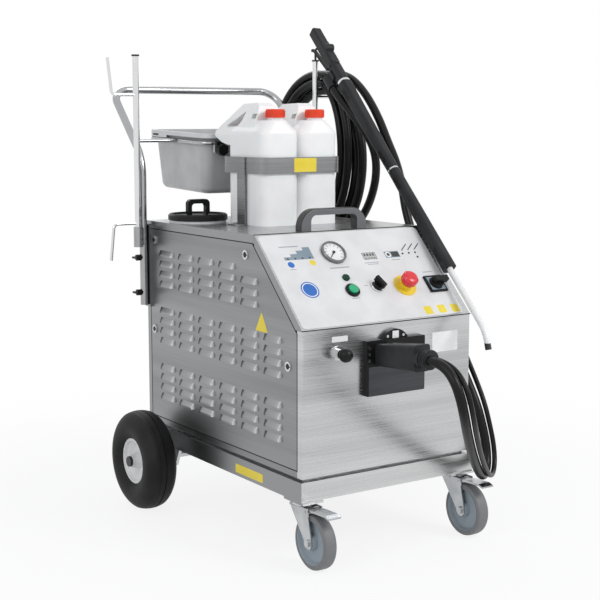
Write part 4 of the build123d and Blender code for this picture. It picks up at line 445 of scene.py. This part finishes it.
def make_caster_finish(side):
    """Polyamide wheel centre, blue grey, inside a ring of grey elastic tread."""
    material, tree, shader, place = start_material(f"caster_polyamide_{side}", {"Roughness": 0.5})
    axle_y, axle_z = CASTER_AXLE
    shift = add_node(tree, "ShaderNodeMapping", joins={"Vector": place}, values={
        "Location": (0, -axle_y * MM, -axle_z * MM), "Scale": (0, 1, 1)})
    far = add_node(tree, "ShaderNodeVectorMath", {"operation": "LENGTH"},
                   joins={0: shift.outputs["Vector"]})
    ramp = add_node(tree, "ShaderNodeValToRGB", joins={"Fac": far.outputs["Value"]})
    ramp.color_ramp.interpolation = "CONSTANT"
    set_tones(ramp, CASTER_TONES)
    grain = add_node(tree, "ShaderNodeTexNoise", values={"Scale": 1 / (CASTER_GRIT * MM), "Detail": 3.0},
                     joins={"Vector": place})
    dress_shader(tree, shader, ramp, grain.outputs["Fac"], CASTER_RELIEF, CASTER_DEPTH)
    return material


finishes = {
    "front_cover": STEEL_FRONT, "control_panel": STEEL_BENT, "rear_cover": STEEL_BENT,
    "top_deck": STEEL_DECK, "base_frame": STEEL_FRAME, "handle_brackets": STEEL_FRAME,
    "can_strap": STEEL_STRAP, "rear_axle": AXLE, "control_overlay": FILM, "panel_locks": CHROME,
    "pressure_gauge": CASE, "gauge_needle": ABS, "switch_collars": COLLAR, "start_button": START_GREEN,
    "selector_knob": ABS, "stop_collar": STOP_YELLOW, "stop_button": STOP_RED, "isolator_plate": ABS,
    "isolator_handle": ABS, "pull_knob": ABS, "socket_plate": ABS, "plug": NYLON,
    "deck_handle": DECK_GRIP, "tank_lid": ABS, "push_handle": TUBE, "hook_posts": POST, "tub": TUB,
    "tub_ring": RING, "ring_knob": ABS, "gun_body": GUN_BODY, "gun_trigger": NYLON,
    "gun_sleeves": GUN_SLEEVE, "lance_tube": LANCE, "water_tank": TANK, "boiler": STEEL_FRONT,
    "water_pump": GREY_NYLON,
}
for side in ("left", "right"):
    finishes.update({
        f"rear_tyre_{side}": TYRE, f"rear_rim_{side}": RIM, f"caster_fork_{side}": ZINC,
        f"caster_wheel_{side}": make_caster_finish(side), f"brake_pedal_{side}": ZINC,
        f"side_panel_{side}": STEEL_SIDE, f"can_{side}": CAN, f"can_cap_{side}": CAP,
        f"clamp_low_{side}": ABS, f"clamp_high_{side}": ABS,
    })
for node, finish in finishes.items():
    nodes[node].data.materials.clear()
    nodes[node].data.materials.append(finish)

# Hose from the gun through the coil to the plug, and the cable beside it: route points in millimetres
TAIL = [
    (302, 289, 658), (302, 263, 658), (302, 203, 667), (302, 149, 688), (302, 101, 724), (302, 64, 772),
    (301, 40, 828), (298, 35, 882), (291, 46, 925), (281, 74, 966), (271, 112, 1006),
]
LEAD = [
    (-35, -598, 475), (-35, -623, 475), (-29, -652, 461), (-28, -675, 438), (-22, -686, 405),
    (-3, -677, 363), (36, -643, 314), (88, -598, 259), (140, -554, 212), (181, -521, 179),
    (211, -498, 160), (238, -477, 153), (260, -459, 161), (273, -446, 184), (276, -437, 218),
    (273, -427, 258), (270, -411, 304), (270, -379, 352), (271, -325, 424), (272, -263, 510),
    (274, -199, 612), (275, -151, 694), (277, -117, 760), (283, -95, 820), (290, -61, 878),
    (300, -11, 930), (312, 43, 990), (320, 107, 1050), (324.5, 167, 1090), (325.5, 217, 1108),
    (325.5, 259, 1112.5), (325.5, 289, 1112.5),
]
CABLE = [
    (-17, -598, 475), (-17, -623, 475), (-10.5, -655, 461), (-9.5, -681, 438), (-6, -696, 405),
    (12.5, -687.5, 363), (51.5, -653.5, 314), (103.5, -608.5, 259), (155.5, -564.5, 212),
    (196.5, -531.5, 179), (226.5, -508.5, 160), (253.5, -487.5, 153), (275.5, -469.5, 161),
    (288.5, -456.5, 184), (291.5, -447.5, 218), (288.5, -437.5, 258), (286.5, -422, 304),
    (289, -391, 352), (291, -337, 424),
]
# The hose leaves the gun at its inlet and runs straight at first
INLET_AT = (-14.0, 31.0, 691.5)
INLET_RUN = 30.0
COIL_TOP = 1066.5
COIL_LOW = 704.0
COIL_STEP = 23.0
REAR_REACH = 178.0
# Stations of the coil as layer and height, with the reach of the half turn that follows
COIL = [
    (LAYER_IN, COIL_LOW - 2 * COIL_STEP, REAR_REACH + 2 * COIL_STEP),
    (LAYER_IN, COIL_TOP + 2 * COIL_STEP, -144.0),
    (LAYER_IN, COIL_LOW - COIL_STEP, REAR_REACH + COIL_STEP),
    (LAYER_IN, COIL_TOP + COIL_STEP, -111.0),
    (LAYER_IN, COIL_LOW, REAR_REACH),
    (LAYER_OUT, COIL_TOP, -147.0),
    (LAYER_OUT, COIL_LOW - COIL_STEP, REAR_REACH + COIL_STEP),
    (LAYER_OUT, COIL_TOP + COIL_STEP, -180.0),
    (LAYER_OUT, COIL_LOW - 2 * COIL_STEP, REAR_REACH + 2 * COIL_STEP),
    (LAYER_OUT, COIL_TOP + 2 * COIL_STEP, 0.0),
]
HALF_TURN_POINTS = 8
# Stages of the cable's connector from its near end: start, stop and radius
CONNECTOR = [(0, 46, 7.6), (2, 14, 9.0), (17, 24, 9.0), (27, 44, 9.0)]
CONNECTOR_ROUND = 28


def gun_point(side, off, along):
    """Point in the gun's own frame."""
    return GUN_LOW + GUN_X * side + GUN_Y * off + GUN_AXIS * along


def coil_turns():
    """Control points of the coil's half turns, a little outside the hose's own line."""
    # The smooth line passes inside its control points by this factor
    spread = 1 / (0.75 + 0.25 * cos(pi / HALF_TURN_POINTS))
    points = []
    for (x0, z0, reach), (x1, z1, _) in zip(COIL, COIL[1:]):
        middle, half = (z0 + z1) / 2, (z0 - z1) / 2
        for step in range(HALF_TURN_POINTS):
            share = (step + 0.5) / HALF_TURN_POINTS
            angle = pi * share
            points.append((x0 + (x1 - x0) * share, COIL_Y + reach * spread * sin(angle),
                           middle + half * spread * cos(angle)))
    return points


def make_cord(name, route, radius):
    """Round cord on one smooth spline."""
    curve = bpy.data.curves.new(name, "CURVE")
    curve.dimensions = "3D"
    curve.resolution_u = 6
    curve.bevel_depth = radius * MM
    curve.bevel_resolution = 5
    curve.use_fill_caps = True
    spline = curve.splines.new("NURBS")
    spline.points.add(len(route) - 1)
    for point, place in zip(spline.points, route):
        point.co = (place[0] * MM, place[1] * MM, place[2] * MM, 1)
    spline.order_u = 3
    spline.use_endpoint_u = True
    cord = bpy.data.objects.new(name, curve)
    scene.collection.objects.link(cord)
    curve.materials.append(HOSE)
    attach(cord, "cabinet")
    return cord


def make_piece(bm, name, material, body="cabinet"):
    """Finished piece that rides with its body."""
    mesh = bpy.data.meshes.new(name)
    bm.to_mesh(mesh)
    bm.free()
    mesh.materials.append(material)
    piece = bpy.data.objects.new(name, mesh)
    scene.collection.objects.link(piece)
    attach(piece, body)
    return piece


def make_hose():
    """One smooth hose from the gun's inlet through the coil to the plug's gland."""
    mouth = gun_point(*INLET_AT)
    before = gun_point(INLET_AT[0], INLET_AT[1], INLET_AT[2] - INLET_RUN)
    route = [tuple(mouth), tuple(before)] + TAIL[::-1] + coil_turns() + LEAD[::-1]
    hose = make_cord("steam_hose", route, HOSE_R)
    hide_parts("hose_lead", "hose_coil", "hose_tail")


def make_cable():
    """Control cable from the plug's gland along the hose, with its in-line connector."""
    cable = make_cord("control_cable", CABLE, CABLE_R)
    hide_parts("hose_cable")
    end = Vector(CABLE[-1])
    along = (end - Vector(CABLE[-2])).normalized()
    bm = bmesh.new()
    for start, stop, radius in CONNECTOR:
        middle = end + along * ((start + stop) / 2)
        place = Matrix.Translation(middle * MM) @ along.to_track_quat("Z", "Y").to_matrix().to_4x4()
        bmesh.ops.create_cone(bm, cap_ends=True, segments=CONNECTOR_ROUND, radius1=radius * MM,
                              radius2=radius * MM, depth=(stop - start) * MM, matrix=place)
    connector = make_piece(bm, "cable_connector", ABS)


make_hose()
make_cable()


# Flat pieces: printing, plates, screws, ribs and seam strips
def face(origin, across, up):
    """Frame of a flat face: x across it, y up it, z out of it."""
    x, y = Vector(across).normalized(), Vector(up).normalized()
    turned = Matrix((x, y, x.cross(y))).transposed().to_4x4()
    return Matrix.Translation(Vector(origin) * MM) @ turned


PANEL = face((0, FRONT_Y, FRONT_TOP), TO_RIGHT, (0, 1, 1))
FRONT = face((0, FRONT_Y, 0), TO_RIGHT, UP)
LEFT = face((-HALF, 0, 0), AHEAD, UP)
RIGHT = face((HALF, 0, 0), BACK, UP)
STRAP = face((0, STRAP_FACE, 0), TO_RIGHT, UP)
# Corners of a round shape
ROUND = 48
LOCK_ROUND = 32
SMALL_ROUND = 24


def add_shape(bm, shape, place, base, thick):
    """Thickens a flat shape and adds it to a piece at its place."""
    made = bmesh.ops.extrude_face_region(shape, geom=shape.faces[:])["geom"]
    lifted = [item for item in made if isinstance(item, bmesh.types.BMVert)]
    bmesh.ops.translate(shape, verts=lifted, vec=(0, 0, thick * MM))
    bmesh.ops.translate(shape, verts=shape.verts[:], vec=(0, 0, base * MM))
    bmesh.ops.recalc_face_normals(shape, faces=shape.faces[:])
    shape.transform(place)
    held = bpy.data.meshes.new("held")
    shape.to_mesh(held)
    shape.free()
    bm.from_mesh(held)
    bpy.data.meshes.remove(held)


def add_tile(bm, place, at, size, corner, base, thick, turn=0.0):
    """Flat plate, with rounded corners where it has a corner radius."""
    shape = bmesh.new()
    scale = Matrix.Diagonal((size[0] * MM, size[1] * MM, 1, 1))
    bmesh.ops.create_grid(shape, x_segments=1, y_segments=1, size=0.5, matrix=scale)
    if corner:
        bmesh.ops.bevel(shape, geom=shape.verts[:], offset=corner * MM, affect="VERTICES", segments=5,
                        profile=0.5, material=-1)
    spot = Matrix.Translation((at[0] * MM, at[1] * MM, 0)) @ Matrix.Rotation(radians(turn), 4, "Z")
    add_shape(bm, shape, place @ spot, base, thick)


def add_disc(bm, place, at, radius, base, thick, inner=0.0, segments=ROUND):
    """Flat disc, or ring where it has an inner radius."""
    shape = bmesh.new()
    bmesh.ops.create_circle(shape, cap_ends=not inner, segments=segments, radius=radius * MM)
    if inner:
        bmesh.ops.create_circle(shape, cap_ends=False, segments=segments, radius=inner * MM)
        bmesh.ops.bridge_loops(shape, edges=shape.edges[:])
    spot = Matrix.Translation((at[0] * MM, at[1] * MM, 0))
    add_shape(bm, shape, place @ spot, base, thick)


def add_triangle(bm, place, at, radius, corner, base, thick):
    """Flat triangle with rounded corners, one of them on top."""
    shape = bmesh.new()
    bmesh.ops.create_circle(shape, cap_ends=True, segments=3, radius=radius * MM)
    bmesh.ops.bevel(shape, geom=shape.verts[:], offset=corner * MM, affect="VERTICES", segments=4,
                    profile=0.5, material=-1)
    add_shape(bm, shape, place @ Matrix.Translation((at[0] * MM, at[1] * MM, 0)), base, thick)


def add_strip(bm, start, end, out, width, proud):
    """Narrow strip along a seam between two points."""
    start, end = Vector(start), Vector(end)
    along = end - start
    place = face((start + end) / 2, along, Vector(out).cross(along))
    add_tile(bm, place, (0, 0), (along.length + width, width), 0, 0, proud)


SEAL_W = 2.4
SEAL_H = 0.25


def make_seals():
    """Black rubber strips in the seams of the cabinet."""
    bm = bmesh.new()
    crest = (-HALF, SLOPE_Y, DECK_Z), (HALF, SLOPE_Y, DECK_Z)
    brow = (-HALF, FRONT_Y, FRONT_TOP), (HALF, FRONT_Y, FRONT_TOP)
    add_strip(bm, *crest, (0, -1, 2), SEAL_W, SEAL_H)
    add_strip(bm, *brow, (0, -2, 1), SEAL_W, SEAL_H)
    slant = RETURN * (sqrt(2) - 1)
    ring = [(FRONT_Y + RETURN, BODY_Z + SILL_H), (FRONT_Y + RETURN, FRONT_TOP - slant),
            (SLOPE_Y + slant, DECK_Z - RETURN), (REAR_Y - RETURN, DECK_Z - RETURN),
            (REAR_Y - RETURN, BODY_Z + SILL_H)]
    for side in (-1, 1):
        for (y0, z0), (y1, z1) in zip(ring, ring[1:] + ring[:1]):
            add_strip(bm, (side * HALF, y0, z0), (side * HALF, y1, z1), (side, 0, 0), SEAL_W, SEAL_H)
    make_piece(bm, "seam_seals", SEAL)


# Printing lies on the film in up to three coats; places count from the middle of the panel's lower edge
FIRST_COAT, SECOND_COAT, THIRD_COAT = 0.1, 0.15, 0.2
LABEL_T, PLATE_T = 0.3, 0.4
BUTTON_T, LAMP_T = 0.6, 0.9
BIG_DISC_AT, BIG_DISC_R = (-167, 109.5), 23.0
BIG_RING_R, BIG_RING_HOLE = 20.0, 17.6
BLUE_DOT_AT, BLUE_DOT_R = (-183, 183.5), 8.5
YELLOW_DOT_AT, YELLOW_DOT_R = (-123, 185.5), 8.0
CHART_LEFT, CHART_FOOT, CHART_STEP = -193, 197, 20
CHART_TOPS = (206, 214, 223, 232)
CHART_DOT, CHART_DOT_R = (9, 3.5), 2.6
# Caption bars: middle and size
CAPTIONS = [
    ((-167, 236), (52, 3)), ((-57, 165.5), (54, 3)), ((39, 173), (41, 2.4)), ((41, 168), (30, 2)),
    ((113, 176.5), (25, 2.2)), ((184, 132.5), (28, 2.2)), ((-57, 75), (22, 2)), ((-12, 108), (10, 2)),
    ((-183, 170), (16, 2)),
]
DISPLAY_AT, DISPLAY_SIZE, DISPLAY_CORNER = (42.5, 193), (39, 20.5), 0.8
WINDOW_SIZE, WINDOW_CORNER = (36.5, 18), 0.5
DIGITS, DIGIT_LEFT, DIGIT_STEP = 4, 30, 8.2
# Rows of the display: height on the panel, size and corner of a digit
DIGIT_ROWS = [(196.5, (5.2, 7), 0.6), (187, (5.2, 2.2), 0.4)]
TIMER_AT, TIMER_SIZE, TIMER_CORNER = (110, 193), (43, 19), 0.8
TIMER_WINDOW_AT, TIMER_WINDOW_SIZE, TIMER_WINDOW_CORNER = (119, 193), (22, 15), 0.6
BUTTON_AT, BUTTON_R, BUTTON_CORE_R = (98.5, 193), 8.0, 4.4
LAMPS_AT, LAMP_R = ((142, 193), (161.5, 193.5), (181, 194), (181, 180)), 2.6
STROKES_AT, STROKE_SIZE, STROKE_TURN = ((155.5, 212), (174.5, 212), (194, 212)), (30, 2.4), 39
PATCHES_AT, PATCH_SIZE, PATCH_CORNER = ((125, 22), (165.5, 22), (205, 20.5)), (22.5, 23), 3
DIAL_GAP, DIAL_HOLE_R = 0.3, 2.2
DIAL_MARKS, DIAL_MARK_SIZE, DIAL_MARK_R = 11, (6.5, 1.1), 21.5
DIAL_START, DIAL_STEP = 225, 27
# Bare plates: ink, face, middle, size, corner, height of their ground and thickness
PLATES = [
    ("slate", PANEL, ISOLATOR_AT, (41, 38), 1, OVERLAY_T + ISOLATOR_T, THIRD_COAT),
    ("white", FRONT, (-139.5, 505.7), (43, 12.5), 1.5, 0, PLATE_T),
    ("white", FRONT, (163.5, 472), (77, 47), 2.5, 0, LABEL_T),
    ("white", FRONT, (9, 503), (18, 19), 1, FLANGE_T, PLATE_T),
    ("yellow", STRAP, (17, 875.5), (66, 34), 2, 0, LABEL_T),
    ("yellow", LEFT, (203, 168.5), (121, 20.5), 2.5, FRAME_X - HALF, LABEL_T),
]
TRIANGLE_AT, TRIANGLE_R, TRIANGLE_CORNER = (248, 524), 30, 4


def print_tile(bm, at, size, coat, corner=0, turn=0.0):
    """Tile printed on the film."""
    add_tile(bm, PANEL, at, size, corner, OVERLAY_T, coat, turn)


def print_disc(bm, at, radius, coat, inner=0.0, segments=ROUND):
    """Disc or ring printed on the film."""
    add_disc(bm, PANEL, at, radius, OVERLAY_T, coat, inner, segments)


def print_panel(ink):
    """Plain printing on the film: discs, chart, caption bars, displays, lamps and patches."""
    print_disc(ink["blue"], BIG_DISC_AT, BIG_DISC_R, FIRST_COAT)
    print_disc(ink["white"], BIG_DISC_AT, BIG_RING_R, SECOND_COAT, inner=BIG_RING_HOLE)
    print_disc(ink["blue"], BLUE_DOT_AT, BLUE_DOT_R, FIRST_COAT)
    print_disc(ink["yellow"], YELLOW_DOT_AT, YELLOW_DOT_R, FIRST_COAT)
    for step, top in enumerate(CHART_TOPS):
        left = CHART_LEFT + CHART_STEP * step
        middle = (left + CHART_STEP / 2, (CHART_FOOT + top) / 2)
        print_tile(ink["slate"], middle, (CHART_STEP, top - CHART_FOOT), FIRST_COAT)
        spot = (left + CHART_DOT[0], CHART_FOOT + CHART_DOT[1])
        print_disc(ink["dark"], spot, CHART_DOT_R, SECOND_COAT)
    for at, size in CAPTIONS:
        print_tile(ink["grey"], at, size, FIRST_COAT)
    print_tile(ink["dark"], DISPLAY_AT, DISPLAY_SIZE, FIRST_COAT, DISPLAY_CORNER)
    print_tile(ink["glass"], DISPLAY_AT, WINDOW_SIZE, SECOND_COAT, WINDOW_CORNER)
    for column in range(DIGITS):
        for height, size, corner in DIGIT_ROWS:
            print_tile(ink["dark"], (DIGIT_LEFT + DIGIT_STEP * column, height), size, THIRD_COAT, corner)
    print_tile(ink["slate"], TIMER_AT, TIMER_SIZE, FIRST_COAT, TIMER_CORNER)
    print_tile(ink["dark"], TIMER_WINDOW_AT, TIMER_WINDOW_SIZE, SECOND_COAT, TIMER_WINDOW_CORNER)
    print_disc(ink["white"], BUTTON_AT, BUTTON_R, THIRD_COAT)
    print_disc(ink["dark"], BUTTON_AT, BUTTON_CORE_R, BUTTON_T)
    for spot in LAMPS_AT:
        print_disc(ink["dark"], spot, LAMP_R, LAMP_T, segments=SMALL_ROUND)
    for middle in STROKES_AT:
        print_tile(ink["dark"], middle, STROKE_SIZE, FIRST_COAT, turn=STROKE_TURN)
    for middle in PATCHES_AT:
        print_tile(ink["yellow"], middle, PATCH_SIZE, SECOND_COAT, PATCH_CORNER)


def print_gauge(ink):
    """White dial with dark marks round it."""
    for mark in range(DIAL_MARKS):
        turn = DIAL_START - DIAL_STEP * mark
        angle = radians(turn)
        spot = (GAUGE_AT[0] + DIAL_MARK_R * cos(angle), GAUGE_AT[1] + DIAL_MARK_R * sin(angle))
        add_tile(ink["dark"], PANEL, spot, DIAL_MARK_SIZE, 0, DIAL_H + LABEL_T, FIRST_COAT, turn)
    add_disc(ink["white"], PANEL, GAUGE_AT, DIAL_R - DIAL_GAP, DIAL_H, LABEL_T, inner=DIAL_HOLE_R)


def place_labels(ink):
    """Bare plates on the isolator, front cover, socket flange, strap, frame and left panel."""
    for name, wall, at, size, corner, base, thick in PLATES:
        add_tile(ink[name], wall, at, size, corner, base, thick)
    add_triangle(ink["yellow"], LEFT, TRIANGLE_AT, TRIANGLE_R, TRIANGLE_CORNER, 0, LABEL_T)


def make_prints():
    """Printing and labels, one piece for each ink."""
    inks = {
        "blue": ("print_blue", INK_BLUE, "overlay_white"),
        "slate": ("print_slate", INK_SLATE, "overlay_white"),
        "dark": ("print_dark", INK_DARK, "black_plastic"),
        "grey": ("print_grey", INK_GREY, "overlay_white"),
        "white": ("blank_labels_white", VINYL_WHITE, "overlay_white"),
        "yellow": ("blank_labels_yellow", VINYL_YELLOW, "stop_yellow"),
        "glass": ("display_windows", GLASS, "overlay_white"),
    }
    ink = {name: bmesh.new() for name in inks}
    print_panel(ink)
    print_gauge(ink)
    place_labels(ink)
    for name, (piece, material, slot) in inks.items():
        make_piece(ink[name], piece, material)


COVER_AT = (9.5, 403)
COVER_SIZE = (160, 66)
COVER_CORNER = 1.5
COVER_T = 0.6
# Screws by the face they stand on: places, radius, height of the head and radius of its recess
SCREWS = [
    (SOCKET_T, ((-69, 480), (-69, 465.5), (-69, 451.5)), 3.6, 1.8, 1.2),
    (FLANGE_T, ((-14, 501.5), (31, 501.5)), 3.0, 1.2, 1.0),
]
RECESS_SHADE_R = 6.8
RECESS_SHADE_T = 0.2


def make_socket_trim():
    """Steel lower cover of the socket block and the bright screws of block and flange."""
    cover = bmesh.new()
    add_tile(cover, FRONT, COVER_AT, COVER_SIZE, COVER_CORNER, SOCKET_T, COVER_T)
    make_piece(cover, "socket_cover", STEEL_DARK)
    screws = bmesh.new()
    for base, spots, radius, height, recess in SCREWS:
        for spot in spots:
            add_disc(screws, FRONT, spot, radius, base, height, inner=recess, segments=SMALL_ROUND)
    make_piece(screws, "socket_screws", CHROME)


def make_lock_recess_shade():
    """Dark discs in the bright rings of the panel locks: painted shade where their recesses are in shade.
    """
    bm = bmesh.new()
    for y, z in LOCKS:
        for wall, across in ((LEFT, -y), (RIGHT, y)):
            add_disc(bm, wall, (across, z), RECESS_SHADE_R, LOCK_H, RECESS_SHADE_T, segments=LOCK_ROUND)
    make_piece(bm, "lock_recess_shade", ABS)


CAP_RIBS = 24
RIB_SIZE = (3.0, 15.0)
RIB_CORNER = 0.8
RIB_FOOT = -0.3
RIB_T = 1.3


def make_cap_ribs():
    """Grip ribs round the caps of the cans."""
    for side, x in CAP_X.items():
        bm = bmesh.new()
        for step in range(CAP_RIBS):
            angle = 2 * pi * step / CAP_RIBS
            out = Vector((cos(angle), sin(angle), 0))
            wall = face(Vector((x, CAP_Y, CAP_Z)) + out * CAP_R, (-out.y, out.x, 0), UP)
            add_tile(bm, wall, (0, 0), RIB_SIZE, RIB_CORNER, RIB_FOOT, RIB_T)
        make_piece(bm, f"cap_ribs_{side}", CAP, f"cap_{side}")


make_seals()
make_prints()
make_cap_ribs()
make_socket_trim()
make_lock_recess_shade()

# Floor, light and background
FLOOR_HALF = 30.0
# The shadow shows near the object; further out the floor runs into the white background
FADE = {"From Min": 0.5, "From Max": 1.8, "To Min": 0.85, "To Max": 1.0}
WHITE = {"Color": colour("#FFFFFF"), "Strength": 1.0}
FILL = {"Color": colour("#F6F8FC"), "Strength": 0.55}
# Round soft lamps: name, place, width in metres, power in watts
LAMPS = [
    ("key_lamp", (1.6, -3.2, 3.0), 1.8, 72.0), ("fill_lamp", (-3.2, -1.2, 2.4), 2.0, 26.0),
    ("rear_lamp", (0.6, 3.2, 3.0), 2.0, 30.0),
]
LAMP_AIM = (0, 0, 0.6)


def seen_rays(tree):
    """One for what the camera, mirrors and glass see, else zero."""
    path = add_node(tree, "ShaderNodeLightPath")
    seen = add_node(tree, "ShaderNodeMath", {"operation": "MAXIMUM"}, joins={
        0: path.outputs["Is Camera Ray"], 1: path.outputs["Is Glossy Ray"]})
    return add_node(tree, "ShaderNodeMath", {"operation": "MAXIMUM"}, joins={
        0: seen.outputs["Value"], 1: path.outputs["Is Transmission Ray"]}).outputs["Value"]


def make_floor():
    """Pale matt floor that keeps the object's shadow."""
    mesh = bpy.data.meshes.new("floor")
    bm = bmesh.new()
    bmesh.ops.create_grid(bm, x_segments=1, y_segments=1, size=FLOOR_HALF)
    bm.to_mesh(mesh)
    bm.free()
    floor = bpy.data.objects.new("floor", mesh)
    scene.collection.objects.link(floor)
    material = bpy.data.materials.new("pale_floor")
    material.use_nodes = True
    tree = material.node_tree
    tree.nodes.clear()
    matt = add_node(tree, "ShaderNodeBsdfDiffuse", values={"Color": colour("#F4F4F4")})
    white = add_node(tree, "ShaderNodeEmission", values=WHITE)
    place = add_node(tree, "ShaderNodeTexCoord").outputs["Object"]
    away = add_node(tree, "ShaderNodeVectorMath", {"operation": "LENGTH"}, joins={0: place})
    fade = add_node(tree, "ShaderNodeMapRange", {"interpolation_type": "SMOOTHSTEP"}, FADE,
                    {"Value": away.outputs["Value"]})
    share = add_node(tree, "ShaderNodeMath", {"operation": "MULTIPLY"}, joins={
        0: seen_rays(tree), 1: fade.outputs["Result"]})
    mix = add_node(tree, "ShaderNodeMixShader", joins={
        0: share.outputs["Value"], 1: matt.outputs["BSDF"], 2: white.outputs["Emission"]})
    add_node(tree, "ShaderNodeOutputMaterial", joins={"Surface": mix.outputs["Shader"]})
    mesh.materials.append(material)


def make_light():
    """White surroundings, a plain fill and soft lamps."""
    world = bpy.data.worlds.new("studio")
    scene.world = world
    world.use_nodes = True
    tree = world.node_tree
    tree.nodes.clear()
    fill = add_node(tree, "ShaderNodeBackground", values=FILL)
    white = add_node(tree, "ShaderNodeBackground", values=WHITE)
    mix = add_node(tree, "ShaderNodeMixShader", joins={
        0: seen_rays(tree), 1: fill.outputs["Background"], 2: white.outputs["Background"]})
    add_node(tree, "ShaderNodeOutputWorld", joins={"Surface": mix.outputs["Shader"]})
    for name, spot, size, power in LAMPS:
        data = bpy.data.lights.new(name, "AREA")
        data.shape = "DISK"
        data.size = size
        data.energy = power
        lamp = bpy.data.objects.new(name, data)
        lamp.location = spot
        aim = Vector(LAMP_AIM) - Vector(spot)
        lamp.rotation_euler = aim.to_track_quat("-Z", "Y").to_euler()
        scene.collection.objects.link(lamp)


make_floor()
make_light()
scene.view_settings.view_transform = "Standard"
